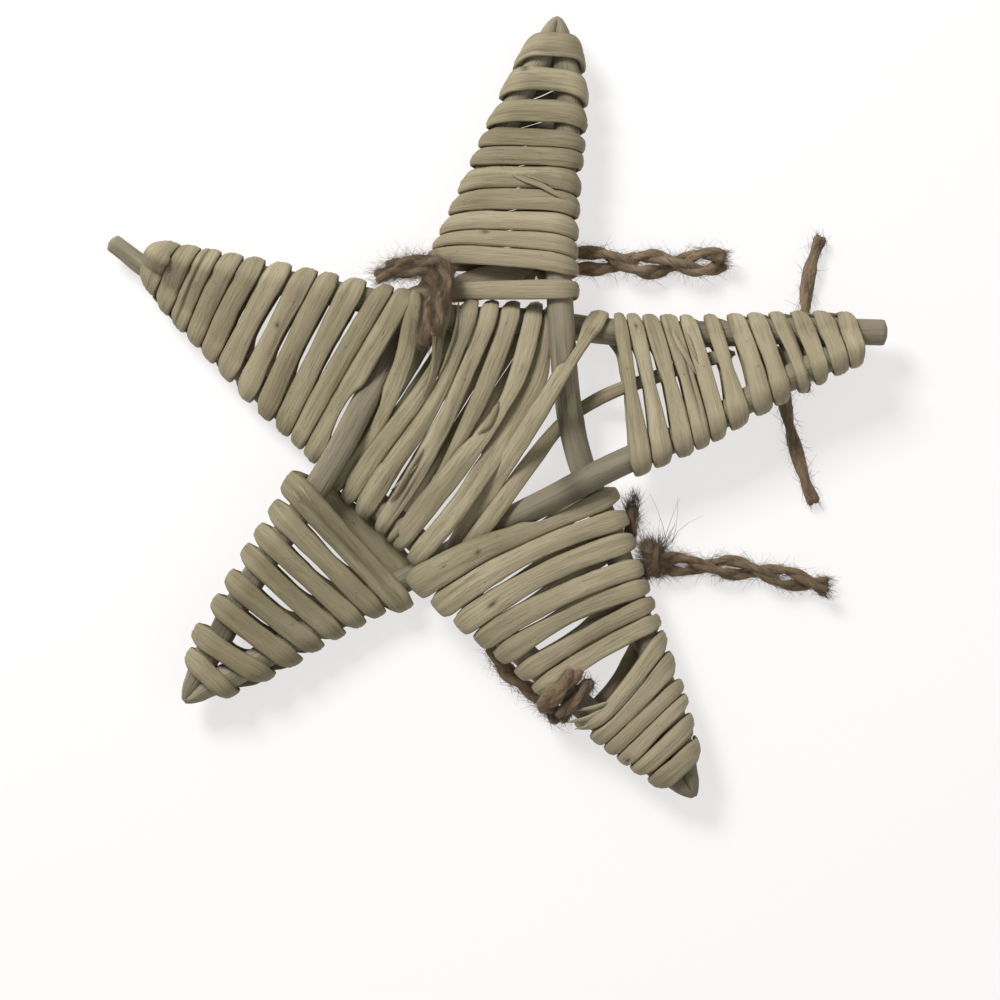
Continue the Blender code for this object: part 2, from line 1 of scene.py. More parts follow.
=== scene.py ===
"""A wicker star from a garland: willow rods, wound willow strips and jute twine.

Every piece is a grid carried along a path. The paths are given in picture units,
x to the right and y down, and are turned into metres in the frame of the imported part.
"""

from __future__ import annotations

import logging
import math
from dataclasses import dataclass, field
from enum import Enum

import bpy
import numpy as np
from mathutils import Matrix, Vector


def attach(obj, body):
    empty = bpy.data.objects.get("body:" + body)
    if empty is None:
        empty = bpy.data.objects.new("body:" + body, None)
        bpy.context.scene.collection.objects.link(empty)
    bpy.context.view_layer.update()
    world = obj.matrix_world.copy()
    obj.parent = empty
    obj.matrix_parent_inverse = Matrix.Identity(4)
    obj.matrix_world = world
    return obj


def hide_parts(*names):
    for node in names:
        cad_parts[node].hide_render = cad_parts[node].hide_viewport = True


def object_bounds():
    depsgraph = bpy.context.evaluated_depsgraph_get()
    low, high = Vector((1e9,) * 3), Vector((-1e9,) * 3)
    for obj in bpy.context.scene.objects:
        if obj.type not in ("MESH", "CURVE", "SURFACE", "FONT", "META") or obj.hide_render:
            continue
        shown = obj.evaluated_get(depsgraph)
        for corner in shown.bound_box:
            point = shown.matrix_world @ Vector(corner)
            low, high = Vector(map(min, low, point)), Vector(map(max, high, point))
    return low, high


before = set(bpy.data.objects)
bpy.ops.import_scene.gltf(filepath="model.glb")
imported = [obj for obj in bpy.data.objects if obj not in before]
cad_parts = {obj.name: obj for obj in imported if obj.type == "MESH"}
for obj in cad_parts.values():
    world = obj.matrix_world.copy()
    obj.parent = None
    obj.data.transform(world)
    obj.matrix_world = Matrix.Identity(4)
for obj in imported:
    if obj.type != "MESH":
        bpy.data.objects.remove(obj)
CAD_BOX = [list(corner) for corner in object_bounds()]

Array = np.ndarray
log = logging.getLogger("wicker_star")

# The drawing's scale, and where its centre sits in the part's frame
SPAN_UNITS = 782.0
STAR_SPAN = 0.1486
UNIT = STAR_SPAN / SPAN_UNITS
DRAWING_CENTRE = (499.0, 406.5)
SEAT = np.array([0.000932, 0.0000843, 0.0066617])
UP = np.array([0.0, 0.0, 1.0])

# Sizes in metres, the same as the solids', with the floor's height under the star's middle
ROD_RADIUS = 0.0025
STRIP_THICKNESS = 0.00095
TWINE_DIAMETER = 0.0028
FRAYED_TWINE_DIAMETER = 0.0023
CROSSING_LIFT = 0.00265
TWINE_BED = -0.00653
WRAP_GAP = 0.00025
WRAP_RADIUS = ROD_RADIUS + WRAP_GAP + STRIP_THICKNESS / 2

# How far apart the points of a line lie, and how high a loose fibre may reach
LINE_STEP = 0.0005
TWINE_STEP = 0.00025
FINE_STEP = 0.0002
CEILING = CAD_BOX[1][2] - 0.0001

# A strip's places round a rod, in degrees from the rod's top, and how much it narrows
# at the rim and within what reach of it
RIM_ANGLES = (90, 72, 54, 36, 18, 0)
LEAD_ANGLES = (0, 30, 60, 90)
START_ANGLES = (150, 130, 110)
TUCK_ANGLES = (110, 130)
RIM_NARROWING = 0.3
RIM_REACH = 0.0012


class Face(Enum):
    """The side of the star that a crossing lies on, as its way up or down."""

    FRONT = 1
    BACK = -1


def to_metres(points: list | Array) -> Array:
    """Picture units to metres in the part's frame.

    Args:
        points: rows of (x, y) or (x, y, height in mm).

    Returns:
        Rows of (X, Y, Z), with Z measured from the star's middle plane.
    """
    points = np.asarray(points, float)
    plan = (points[:, :2] - DRAWING_CENTRE) * (UNIT, -UNIT)
    height = points[:, 2:3] / 1000 if points.shape[1] > 2 else np.zeros((len(points), 1))
    return np.hstack([plan, height]) + SEAT


def unit(vectors: Array) -> Array:
    """Vectors scaled to length one along the last axis."""
    return vectors / np.maximum(np.linalg.norm(vectors, axis=-1, keepdims=True), 1e-12)


def square(vectors: Array, heading: Array) -> Array:
    """Unit vectors turned square to a line's heading."""
    return unit(vectors - np.sum(vectors * heading, axis=1)[:, None] * heading)


def distances(path: Array) -> Array:
    """How far along a path each of its points lies."""
    steps = np.linalg.norm(np.diff(path, axis=0), axis=1)
    return np.concatenate([[0.0], np.cumsum(steps)])


def face_up(count: int) -> Array:
    """The way straight up, once for each of count points."""
    return np.tile(UP, (count, 1))


def smooth_noise(rng: np.random.Generator, where: Array, step: float) -> Array:
    """Random values eased between knots that lie a step apart.

    Args:
        rng: the seeded source.
        where: positions to read.
        step: distance between knots.

    Returns:
        Values between -1 and 1, one for each position.
    """
    place = (where - where.min()) / step
    knots = rng.uniform(-1, 1, int(place.max()) + 3)
    cell = place.astype(int)
    share = place - cell
    share = share * share * (3 - 2 * share)
    return knots[cell] * (1 - share) + knots[cell + 1] * share


@dataclass
class Line:
    """A smooth line with values that ride along it.

    Between two points it is the cubic curve that has a given place and slope at either
    end, with each slope taken from the two neighbours, read at even steps of the chord
    length.
    """

    points: Array
    values: dict[str, Array]
    step: float = LINE_STEP

    def __post_init__(self) -> None:
        """Work out the points, their distances along, the values and the headings."""
        chord = np.maximum(np.linalg.norm(np.diff(self.points, axis=0), axis=1), 1e-7)
        knots = np.concatenate([[0.0], np.cumsum(chord)])
        slopes = np.gradient(self.points, knots, axis=0)
        where = np.linspace(0, knots[-1], max(3, round(knots[-1] / self.step) + 1))
        cell = np.clip(np.searchsorted(knots, where, side="right") - 1, 0, len(chord) - 1)
        length = chord[cell][:, None]
        u = (where - knots[cell])[:, None] / length
        rise, fall = slopes[cell] * length, slopes[cell + 1] * length
        self.line = (
            (2 * u**3 - 3 * u**2 + 1) * self.points[cell]
            + (u**3 - 2 * u**2 + u) * rise
            + (3 * u**2 - 2 * u**3) * self.points[cell + 1]
            + (u**3 - u**2) * fall
        )
        self.along = where
        self.read = {name: self.ride(knots, where, rows) for name, rows in self.values.items()}
        self.heading = unit(np.gradient(self.line, axis=0))

    @staticmethod
    def ride(knots: Array, where: Array, rows: Array) -> Array:
        """Values given at the points, read linearly along the line."""
        rows = np.asarray(rows, float)
        if rows.ndim == 1:
            return np.interp(where, knots, rows)
        return np.column_stack([np.interp(where, knots, column) for column in rows.T])


# The rods' routes, the corners and the windings

FOLDS = {"top": (557.5, 16.5), "lower_right": (695.0, 797.0), "lower_left": (184.0, 702.0)}
TOP_FOLD = (557, 29)
LOWER_RIGHT_FOLD = (688, 785)
LOWER_LEFT_FOLD = (195, 690)

ROD_ROUTES = {
    "cross": [(168, 262), (285, 284), (366, 301), (450, 318), (545, 322), (600, 330),
              (700, 334), (800, 331), (886, 333)],
    "left_leg": [(110, 234), (132, 252), (153, 268), (182, 305), (208, 332), (264, 392),
                 (314, 437), (352, 481), (420, 543), (463, 590), (498, 628), (539, 668),
                 (590, 712), (640, 752), LOWER_RIGHT_FOLD],
    "right_leg": [TOP_FOLD, (567, 75), (561, 190), (558, 255), (560, 306), (583, 468),
                  (606, 522), (624, 571), (640, 621), (652, 655), (672, 715),
                  LOWER_RIGHT_FOLD],
    "long_leg": [TOP_FOLD, (532, 72), (490, 165), (444, 265), (417, 312), (366, 400),
                 (338, 454), (306, 505), (257, 573), (228, 622), LOWER_LEFT_FOLD],
    "low_leg": [(846, 350), (803, 371), (751, 398), (701, 427), (645, 452), (610, 468),
                (555, 497), (500, 525), (440, 560), (378, 594), (320, 625), (276, 649),
                (234, 673), LOWER_LEFT_FOLD],
}
READ_ALONG_Y = {"right_leg", "long_leg"}
CORNERS = [("cross", "long_leg"), ("right_leg", "cross"), ("low_leg", "right_leg"),
           ("left_leg", "low_leg"), ("long_leg", "left_leg")]
END_HEIGHTS = {"cross": (0.0027, 0.0013), "left_leg": (-0.0024, 0.0), "right_leg": (0.0, 0.0),
               "long_leg": (0.0, 0.0), "low_leg": (0.0051, 0.0)}


class Rod:
    """The centreline of one straight stretch of rod, woven over and under the others.

    Its height eases by half a cosine wave from one corner to the next.
    """

    def __init__(self, name: str) -> None:
        """Read the rod's plan from its route."""
        self.name = name
        self.plan = Line(to_metres(ROD_ROUTES[name]), {}).line
        self.along = distances(self.plan)
        self.corners: list[tuple[float, float]] = []

    def weave(self) -> None:
        """Give the line its heights."""
        start, end = END_HEIGHTS[self.name]
        stops = [(0.0, start), *sorted(self.corners), (float(self.along[-1]), end)]
        places = np.array([place for place, _ in stops])
        heights = np.array([height for _, height in stops])
        cell = np.clip(np.searchsorted(places, self.along, side="right") - 1, 0, len(stops) - 2)
        share = (self.along - places[cell]) / (places[cell + 1] - places[cell])
        share = (1 - np.cos(np.pi * share)) / 2
        self.line = self.plan.copy()
        self.line[:, 2] += heights[cell] * (1 - share) + heights[cell + 1] * share
        self.heading = unit(np.gradient(self.line, axis=0))

    def point(self, place: float) -> Array:
        """The centreline at a distance along the rod."""
        return np.array([np.interp(place, self.along, axis) for axis in self.line.T])

    def direction(self, place: float) -> Array:
        """The rod's heading at a distance along it."""
        return unit(np.array([np.interp(place, self.along, axis) for axis in self.heading.T]))

    def station(self, reading: float) -> float:
        """The distance along the rod at a reading.

        Args:
            reading: an x in picture units, or a y for the rods that stand upright.

        Returns:
            The distance in metres.
        """
        axis = 1 if self.name in READ_ALONG_Y else 0
        drawn = (self.plan[:, axis] - SEAT[axis]) / (-UNIT if axis else UNIT)
        drawn = drawn + DRAWING_CENTRE[axis]
        order = np.argsort(drawn)
        return float(np.interp(reading, drawn[order], self.along[order]))


def make_rods() -> dict[str, Rod]:
    """The five centrelines, each at its own height where two of them cross.

    Returns:
        The rods by name.
    """
    rods = {name: Rod(name) for name in ROD_ROUTES}
    for over, under in CORNERS:
        apart = np.linalg.norm(
            rods[over].plan[:, None, :2] - rods[under].plan[None, :, :2], axis=2)
        at_over, at_under = np.unravel_index(np.argmin(apart), apart.shape)
        rods[over].corners.append((float(rods[over].along[at_over]), CROSSING_LIFT))
        rods[under].corners.append((float(rods[under].along[at_under]), -CROSSING_LIFT))
    for rod in rods.values():
        rod.weave()
    return rods


@dataclass
class Turn:
    """One crossing of the front, from the first rod's outer side to the second's.

    first and second are readings along the rods, bow is how far the middle leans to
    the tip, widths are at the first rod, the middle and the second rod, and via holds
    (x, y, lift in mm, width) points that the strip goes through instead of the bow.
    tilt turns its face about its length, in degrees, and swell is how far it stands off
    beyond the first rod and the second, where it is loose.
    """

    first: float
    second: float
    bow: float = 0.0
    widths: tuple[float, float, float] = (20.0, 20.0, 20.0)
    via: tuple = ()
    tilt: float = 0.0
    swell: tuple[float, float] = (0.0, 0.0)
    shift: Array | None = None


@dataclass
class Winding:
    """One strip wound round the two rods of an arm.

    Seen from above, each crossing is one smooth line from the outer side of one rod to
    the outer side of the other. Outside a rod's axis the strip's height follows a
    circle round the rod, the square root of R squared less the distance squared, and
    between the axes it is the straight line from the top of one circle to the other.
    The back has the same crossings from the second rod to the next turn's first rod,
    and quick is the share of them in which the strip moves on to lie under that turn.

    lead and start are rows of (x, y, height in mm, width) that the strip goes through
    before its first crossing: with a lead it comes in over the front and skips that
    crossing. marks and slivers are its nicks and the splinters that stand off it, tone
    makes it darker, back_width is its width in the middle of the back, where that isn't
    the next turn's, and bow_power makes a bow's ends squarer.
    """

    name: str
    node: str
    rods: tuple[str, str]
    turns: list[Turn]
    seed: int
    lead: list = field(default_factory=list)
    start: list = field(default_factory=list)
    tone: float = 0.0
    thickness: float = STRIP_THICKNESS
    marks: list = field(default_factory=list)
    slivers: list = field(default_factory=list)
    quick: float = 0.35
    back_width: float = 0.0
    bow_power: float = 2.0
    sliver_tilt: float = 0.3

    def lay(self, rods: dict[str, Rod]) -> Line:
        """Work out the strip's centreline.

        Args:
            rods: the woven centrelines.

        Returns:
            The line, with its face normals, widths and tilts riding on it.
        """
        self.pair = [rods[name] for name in self.rods]
        self.rows: list[tuple] = []
        places = [(self.pair[0].station(t.first), self.pair[1].station(t.second))
                  for t in self.turns]
        for number, (turn, place) in enumerate(zip(self.turns, places)):
            begin = self.rim(0, place[0], turn.swell[0])
            finish = self.rim(1, place[1], turn.swell[1])
            if number == 0 and self.lead:
                for x, y, height, width in self.lead:
                    self.rows.append((to_metres([(x, y, height)])[0], UP, width, 0.0))
                for angle in LEAD_ANGLES:
                    spot = place[1] - 0.5 * WRAP_RADIUS * (1 - math.sin(math.radians(angle)))
                    self.rows.append((*self.off(1, spot, angle), turn.widths[2], 0.0))
            else:
                if number == 0:
                    for x, y, height, width in self.start:
                        self.rows.append((to_metres([(x, y, height)])[0], UP, width, 0.0))
                    self.rows += [(*self.off(0, place[0], angle), turn.widths[0], 0.0)
                                  for angle in START_ANGLES]
                self.cross(begin, finish, turn, Face.FRONT)
            if number + 1 < len(self.turns):
                following = self.turns[number + 1]
                middle = self.back_width or following.widths[1]
                back = Turn(0, 0, following.bow if self.quick < 1 else 0.0,
                            (turn.widths[2], middle, following.widths[0]))
                back.swell = (following.swell[0], turn.swell[1])
                back.shift = finish - self.rim(1, places[number + 1][1], turn.swell[1])
                again = self.rim(0, places[number + 1][0], back.swell[0])
                self.cross(finish, again, back, Face.BACK)
        self.finish(self.turns[-1], places[-1])
        points, normals, widths, tilts = (np.array(rows) for rows in zip(*self.rows))
        return Line(points, {"normal": normals, "width": widths * UNIT,
                             "tilt": np.radians(tilts)})

    def loose(self, line: Line) -> list[Line]:
        """Work out the slivers, each lifted off the nearest part of the strip's face.

        Args:
            line: the strip's own centreline.

        Returns:
            The slivers' centrelines.
        """
        front = line.line[line.read["normal"][:, 2] > 0.7]
        lines = []
        for rows in self.slivers:
            points = to_metres([row[:2] for row in rows])
            apart = np.linalg.norm(points[:, None, :2] - front[None, :, :2], axis=2)
            points[:, 2] = front[np.argmin(apart, axis=1), 2] + [row[2] / 1000 for row in rows]
            lines.append(Line(points, {"normal": face_up(len(points)),
                                       "width": np.array([row[3] for row in rows]) * UNIT,
                                       "tilt": np.full(len(points), self.sliver_tilt)}))
        return lines

    def outward(self, which: int, place: float) -> Array:
        """The level way from a rod's axis to the arm's outer side.

        Args:
            which: 0 for the first rod and 1 for the second.
            place: the distance along that rod.

        Returns:
            A unit vector square to the rod, away from the other one.
        """
        rod, other = self.pair[which], self.pair[1 - which]
        heading = rod.direction(place)
        out = unit(np.cross(heading, UP))
        nearest = other.line[np.argmin(np.linalg.norm(other.line - rod.point(place), axis=1))]
        return -out if out.dot(rod.point(place) - nearest) < 0 else out

    def off(self, which: int, place: float, degrees: float) -> tuple[Array, Array]:
        """A point and its normal on the turn round a rod.

        Args:
            which: 0 for the first rod and 1 for the second.
            place: the distance along that rod.
            degrees: 0 is above the rod, 90 at its outer side and 180 below.

        Returns:
            The point and the normal there.
        """
        angle = math.radians(degrees)
        normal = math.cos(angle) * UP + math.sin(angle) * self.outward(which, place)
        return self.pair[which].point(place) + WRAP_RADIUS * normal, normal

    def rim(self, which: int, place: float, swell: float = 0.0) -> Array:
        """The strip's outermost point beside a rod."""
        return self.off(which, place, 90.0)[0] + swell * UNIT * self.outward(which, place)

    def tipward(self) -> Array:
        """The level way along the arm from the star's middle to the tip."""
        ways = [rod.point(rod.station(end)) - rod.point(rod.station(start))
                for rod, start, end in zip(self.pair, (self.turns[0].first,
                                                       self.turns[0].second),
                                           (self.turns[-1].first, self.turns[-1].second))]
        way = unit(ways[0]) + unit(ways[1])
        way[2] = 0.0
        return unit(way)

    def cross(self, begin: Array, finish: Array, turn: Turn, face: Face) -> None:
        """Add one crossing's rows.

        The plan is a straight line plus a bow, or a smooth line through the turn's
        points, and the width falls by a bell curve of the distance to either rim.

        Args:
            begin: the outermost point where it starts.
            finish: the outermost point where it ends.
            turn: its bow, widths, via points and tilt.
            face: the side of the star that it lies on.
        """
        span = float(np.linalg.norm((finish - begin)[:2]))
        near = WRAP_RADIUS * (1 - np.sin(np.radians(RIM_ANGLES))) / span
        near = near[near < 0.45]
        inner = np.linspace(near[-1], 1 - near[-1], 9 if turn.via else 7)[1:-1]
        shares = np.concatenate([near, inner, 1 - near[::-1]])
        lifts = np.zeros(len(shares))
        widths = np.interp(shares, (0, 0.5, 1), turn.widths)
        tilts = turn.tilt * np.sin(np.pi * shares) ** 0.5
        if turn.via:
            stops = to_metres([row[:3] for row in turn.via])
            line = np.vstack([begin, stops, finish])
            line[1:-1, 2] -= SEAT[2]
            line[[0, -1], 2] = 0.0
            widths = np.array([turn.widths[0], *[row[3] for row in turn.via], turn.widths[2]])
            tilts = np.array([0.0, *[(*row, 0.0)[4] for row in turn.via], 0.0])
            smooth = Line(line, {"width": widths, "tilt": tilts}, FINE_STEP)
            where = shares * smooth.along[-1]
            plan = np.column_stack([np.interp(where, smooth.along, axis)
                                    for axis in smooth.line.T])
            widths = np.interp(where, smooth.along, smooth.read["width"])
            tilts = np.interp(where, smooth.along, smooth.read["tilt"])
            lifts = plan[:, 2].copy()
        else:
            share = shares[:, None]
            bulge = 1 - np.abs(2 * share - 1) ** self.bow_power
            bow = bulge * turn.bow * UNIT * self.tipward()
            plan = begin * (1 - share) + finish * share + bow
            if turn.shift is not None:
                late = np.clip(share / self.quick, 0, 1)
                plan = plan + turn.shift * (share - late * late * (3 - 2 * late))
        reach = np.minimum(shares, 1 - shares) * span
        widths = widths * (1 - RIM_NARROWING * np.exp(-(reach / RIM_REACH) ** 2))
        tops, normals = self.envelope(plan, face, turn.swell)
        plan[:, 2] = tops + lifts
        self.rows += list(zip(plan, normals, widths, tilts))

    def envelope(self, plan: Array, face: Face,
                 swell: tuple[float, float]) -> tuple[Array, Array]:
        """The strip's height and normal over the two rods, from a plan line.

        Args:
            plan: points whose x and y count.
            face: the side of the star that they lie on.
            swell: how far the circle round each rod is stretched outwards.

        Returns:
            The heights and the normals.
        """
        up = face.value * UP
        beyond, heights, ways = [], [], []
        for which, rod in enumerate(self.pair):
            apart = np.linalg.norm(plan[:, None, :2] - rod.line[None, :, :2], axis=2)
            nearest = np.argmin(apart, axis=1)
            out = np.array([self.outward(which, rod.along[index]) for index in nearest])
            beyond.append(np.sum((plan - rod.line[nearest])[:, :2] * out[:, :2], axis=1))
            heights.append(rod.line[nearest, 2])
            ways.append(out)
        inside = [np.maximum(-value, 0) for value in beyond]
        share = inside[0] / np.maximum(inside[0] + inside[1], 1e-9)
        tops = (heights[0] * (1 - share) + heights[1] * share) + face.value * WRAP_RADIUS
        normals = np.tile(up, (len(plan), 1))
        for side in (0, 1):
            outside = (beyond[side] > 0) & (beyond[side] >= beyond[1 - side])
            sine = np.clip(beyond[side] / (WRAP_RADIUS + swell[side] * UNIT), 0, 1)[:, None]
            cosine = np.sqrt(1 - sine**2)
            around = cosine * up + sine * ways[side]
            arc = heights[side] + face.value * WRAP_RADIUS * cosine[:, 0]
            tops = np.where(outside, arc, tops)
            normals = np.where(outside[:, None], around, normals)
        return tops, normals

    def finish(self, turn: Turn, place: tuple[float, float]) -> None:
        """Add the strip's end, tucked round the second rod."""
        self.rows += [(*self.off(1, place[1], angle), turn.widths[2], 0.0)
                      for angle in TUCK_ANGLES]


# Meshes from grids

def link(name: str, data: bpy.types.ID) -> bpy.types.Object:
    """A new object in the scene, for a mesh, a light or a camera."""
    made = bpy.data.objects.new(name, data)
    bpy.context.scene.collection.objects.link(made)
    return made


def store(mesh: bpy.types.Mesh, name: str, values: Array) -> None:
    """Keep one float for each vertex as an attribute."""
    mesh.attributes.new(name, "FLOAT", "POINT").data.foreach_set("value", values)


def face_outwards(mesh: bpy.types.Mesh, points: Array, quads: Array) -> None:
    """Turn the faces round where they point inwards.

    The volume inside is the sum of each face's first corner times the cross product of
    the next two, and comes out below nothing in a mesh that is inside out.

    Args:
        mesh: the mesh.
        points: its vertices.
        quads: the vertex numbers of its four-sided faces.
    """
    one, two, three = (points[quads[:, column]] for column in range(3))
    if np.sum(one * np.cross(two, three)) < 0:
        mesh.flip_normals()


def closed_grid(name: str, rings: Array, stations: Array, across: Array,
                values: dict[str, Array | float]) -> bpy.types.Object:
    """A closed mesh through rings of equal size, with a fan at each end.

    Vertex (i, j) of the grid joins (i+1, j) and (i, j+1), and j wraps round.

    Args:
        name: the object's name.
        rings: positions, shaped (rings, corners, 3).
        stations: the distance along, one for each ring.
        across: a coordinate round the section, one for each corner.
        values: float attributes, each shaped (rings, corners) or spread to that.

    Returns:
        The object, with a UV map in centimetres along and across.
    """
    count, corners = rings.shape[:2]
    middles = np.stack([rings[0].mean(axis=0), rings[-1].mean(axis=0)])
    points = np.concatenate([rings.reshape(-1, 3), middles])
    row, column = np.meshgrid(np.arange(count - 1), np.arange(corners), indexing="ij")
    following = (column + 1) % corners
    quads = np.stack([row * corners + column, row * corners + following,
                      (row + 1) * corners + following, (row + 1) * corners + column], axis=-1)
    quads = quads.reshape(-1, 4)
    edge = np.arange(corners)
    other = (edge + 1) % corners
    base = (count - 1) * corners
    starts = np.stack([np.full(corners, count * corners), other, edge], axis=1)
    ends = np.stack([np.full(corners, count * corners + 1), base + edge, base + other], axis=1)
    mesh = bpy.data.meshes.new(name)
    loops = np.concatenate([quads.ravel(), starts.ravel(), ends.ravel()])
    sizes = np.concatenate([np.full(len(quads), 4), np.full(2 * corners, 3)])
    mesh.vertices.add(len(points))
    mesh.vertices.foreach_set("co", points.ravel())
    mesh.loops.add(len(loops))
    mesh.loops.foreach_set("vertex_index", loops)
    mesh.polygons.add(len(sizes))
    mesh.polygons.foreach_set("loop_start", np.concatenate([[0], np.cumsum(sizes)[:-1]]))
    mesh.polygons.foreach_set("loop_total", sizes)
    mesh.update(calc_edges=True)
    along = np.concatenate([np.repeat(stations, corners), [stations[0], stations[-1]]])
    side = np.concatenate([np.tile(across, count), [0.0, 0.0]])
    uv = np.stack([along[loops], side[loops]], axis=1) * 100
    wrapped = np.zeros(len(loops), bool)
    wrapped[:quads.size] = np.isin(np.arange(quads.size) % 4, (1, 2)) & np.repeat(
        (column.ravel() == corners - 1), 4)
    uv[wrapped, 1] = (2 * across[-1] - across[-2]) * 100
    layer = mesh.uv_layers.new(name="UVMap")
    layer.data.foreach_set("uv", uv.ravel())
    for key, value in values.items():
        grid = np.broadcast_to(value, (count, corners))
        store(mesh, key, np.concatenate([grid.ravel(), grid[0, :1], grid[-1, :1]]))
    face_outwards(mesh, points, quads)
    mesh.polygons.foreach_set("use_smooth", np.ones(len(sizes), bool))
    return link(name, mesh)


def join(name: str, objects: list[bpy.types.Object]) -> bpy.types.Object:
    """Make several mesh objects one.

    Args:
        name: the joined object's name.
        objects: the meshes.

    Returns:
        The first of them, which now holds them all.
    """
    with bpy.context.temp_override(active_object=objects[0], selected_editable_objects=objects,
                                   selected_objects=objects):
        bpy.ops.object.join()
    objects[0].name = name
    return objects[0]


@dataclass
class StripSurface:
    """The surface of a split strip: a flat oval section with a crown and lengthwise fibres.

    With p from 0 to 2 pi round the section, the side is sign(cos p) |cos p|^0.8 of the
    half width and the height is sign(sin p) |sin p|^0.55 of half the thickness. The outer
    face is raised by a crown that falls to the edges, and by ridges that run lengthwise.
    """

    corners: int = 28
    crown: float = 0.35
    ridge: float = 0.00005
    gap: float = 0.00004
    least: float = 0.0006
    side_power: float = 0.8
    height_power: float = 0.55
    end_length: float = 0.0012
    unevenness: float = 0.05
    own_length: float = 0.006
    abreast: float = 0.0006
    level_share: float = 0.8
    wave_step: float = 0.004
    ridge_step: float = 0.011
    thickness_step: float = 0.009
    tone_steps: tuple[float, float] = (0.03, 0.012)
    outline_scale: float = 0.0019

    def half_widths(self, line: Line, rods: list[Rod], side: Array) -> Array:
        """Half widths to each side, held back beside the next turns and the rods.

        Args:
            line: the strip's centreline.
            rods: the rods that it mustn't run into.
            side: the sideways unit vectors.

        Returns:
            An array of two columns, the half width on either side.
        """
        def seen(others: Array) -> tuple[Array, Array, Array]:
            """How far points lie beside, above and ahead of each point of the strip."""
            away = others[None] - line.line[:, None]
            return tuple(np.einsum("ijk,ik->ij", away, way)
                         for way in (side, line.read["normal"], line.heading))

        beside, above, ahead = seen(line.line)
        far_on = np.abs(line.along[None] - line.along[:, None]) > self.own_length
        level = np.abs(above) < STRIP_THICKNESS * self.level_share
        abreast = far_on & level & (np.abs(ahead) < self.abreast)
        halves = np.repeat(line.read["width"][:, None] / 2, 2, axis=1)
        for column, sign in enumerate((1, -1)):
            room = np.where(abreast & (beside * sign > 0), beside * sign, 1.0).min(axis=1)
            halves[:, column] = np.minimum(halves[:, column], (room - self.gap) / 2)
        for rod in rods:
            beside, above, ahead = seen(rod.line)
            keep = ROD_RADIUS + self.gap + STRIP_THICKNESS / 2
            hit = (np.abs(above) < keep) & (np.abs(ahead) < self.abreast)
            reach = np.sqrt(np.maximum(keep**2 - above**2, 0))
            for column, sign in enumerate((1, -1)):
                room = np.where(hit & (beside * sign > 0), beside * sign - reach, 1.0)
                halves[:, column] = np.minimum(halves[:, column], room.min(axis=1))
        halves = np.maximum(halves, self.least)
        kernel = np.ones(5) / 5
        for column in (0, 1):
            padded = np.pad(halves[:, column], 2, mode="edge")
            evened = np.convolve(padded, kernel, "valid")
            halves[:, column] = np.minimum(halves[:, column], evened)
        return halves

    def make(self, name: str, line: Line, rods: list[Rod], seed: int, thickness: float,
             marks: list, shade: float = 0.0) -> bpy.types.Object:
        """Build the strip.

        Args:
            name: the piece's name.
            line: the centreline with its normals, widths and tilts.
            rods: the rods that the strip mustn't run into.
            seed: the source of its natural unevenness.
            thickness: its thickness.
            marks: nicks and splits as (x, y, length, depth in mm, place across from -1
                to 1, breadth as a share of the half width).
            shade: how much darker the whole strip is.

        Returns:
            The strip as a closed mesh.
        """
        rng = np.random.default_rng(seed)
        normal = square(line.read["normal"], line.heading)
        side = np.cross(line.heading, normal)
        tilt = line.read["tilt"][:, None]
        side, normal = (np.cos(tilt) * side + np.sin(tilt) * normal,
                        np.cos(tilt) * normal - np.sin(tilt) * side)
        halves = self.half_widths(line, rods, side)
        wave = smooth_noise(rng, line.along, self.wave_step)[:, None]
        halves = halves * (1 - self.unevenness * np.abs(wave))
        phase = np.linspace(0, 2 * np.pi, self.corners, endpoint=False)
        across = np.sign(np.cos(phase)) * np.abs(np.cos(phase)) ** self.side_power
        height = np.sign(np.sin(phase)) * np.abs(np.sin(phase)) ** self.height_power
        outer = np.clip(height, 0, 1)
        crown = 1 + self.crown * (1 - across**2) * outer
        ends = np.minimum(line.along, line.along[-1] - line.along)
        taper = np.clip(ends / self.end_length, 0.35, 1)[:, None]
        ridges = sum(smooth_noise(rng, line.along + 0.003 * turn, self.ridge_step)[:, None]
                     * np.cos(across[None] * (4 + 2.7 * turn) + rng.uniform(0, 6.3))
                     for turn in range(4))
        swelling = smooth_noise(rng, line.along, self.thickness_step)[:, None]
        thick = thickness / 2 * (1 + 0.1 * swelling)
        lift = thick * taper * (height * crown)[None] + self.ridge * ridges * outer[None]
        mark = np.zeros((len(line.along), self.corners))
        for x, y, length, depth, where, breadth in marks:
            spot = to_metres([(x, y, 0)])[0]
            apart = np.linalg.norm(line.line[:, :2] - spot[:2], axis=1)
            nearest = int(np.argmin(apart + (normal[:, 2] < 0.2)))
            run = (line.along - line.along[nearest])[:, None] / (length * UNIT / 2)
            beside = (across - where)[None] / breadth
            strength = np.exp(-run**2 * 1.5 - beside**2) * outer[None]
            lift = lift - depth / 1000 * strength
            mark = np.maximum(mark, strength)
        wide = np.where(across[None] > 0, halves[:, :1], halves[:, 1:]) * across[None]
        rings = (line.line[:, None] + side[:, None] * (wide * taper)[..., None]
                 + normal[:, None] * lift[..., None])
        broad, fine = (smooth_noise(rng, line.along, step) for step in self.tone_steps)
        tone = 0.5 + shade + 0.4 * broad + 0.15 * fine
        # edge is 0 mid-strip and 1 at the sides; the finish paints shade there
        values = {"tone": tone[:, None], "mark": mark, "edge": np.abs(across)[None]}
        around = np.cumsum(np.abs(np.diff(across, prepend=across[-1]))) * self.outline_scale
        return closed_grid(name, rings, line.along, around, values)


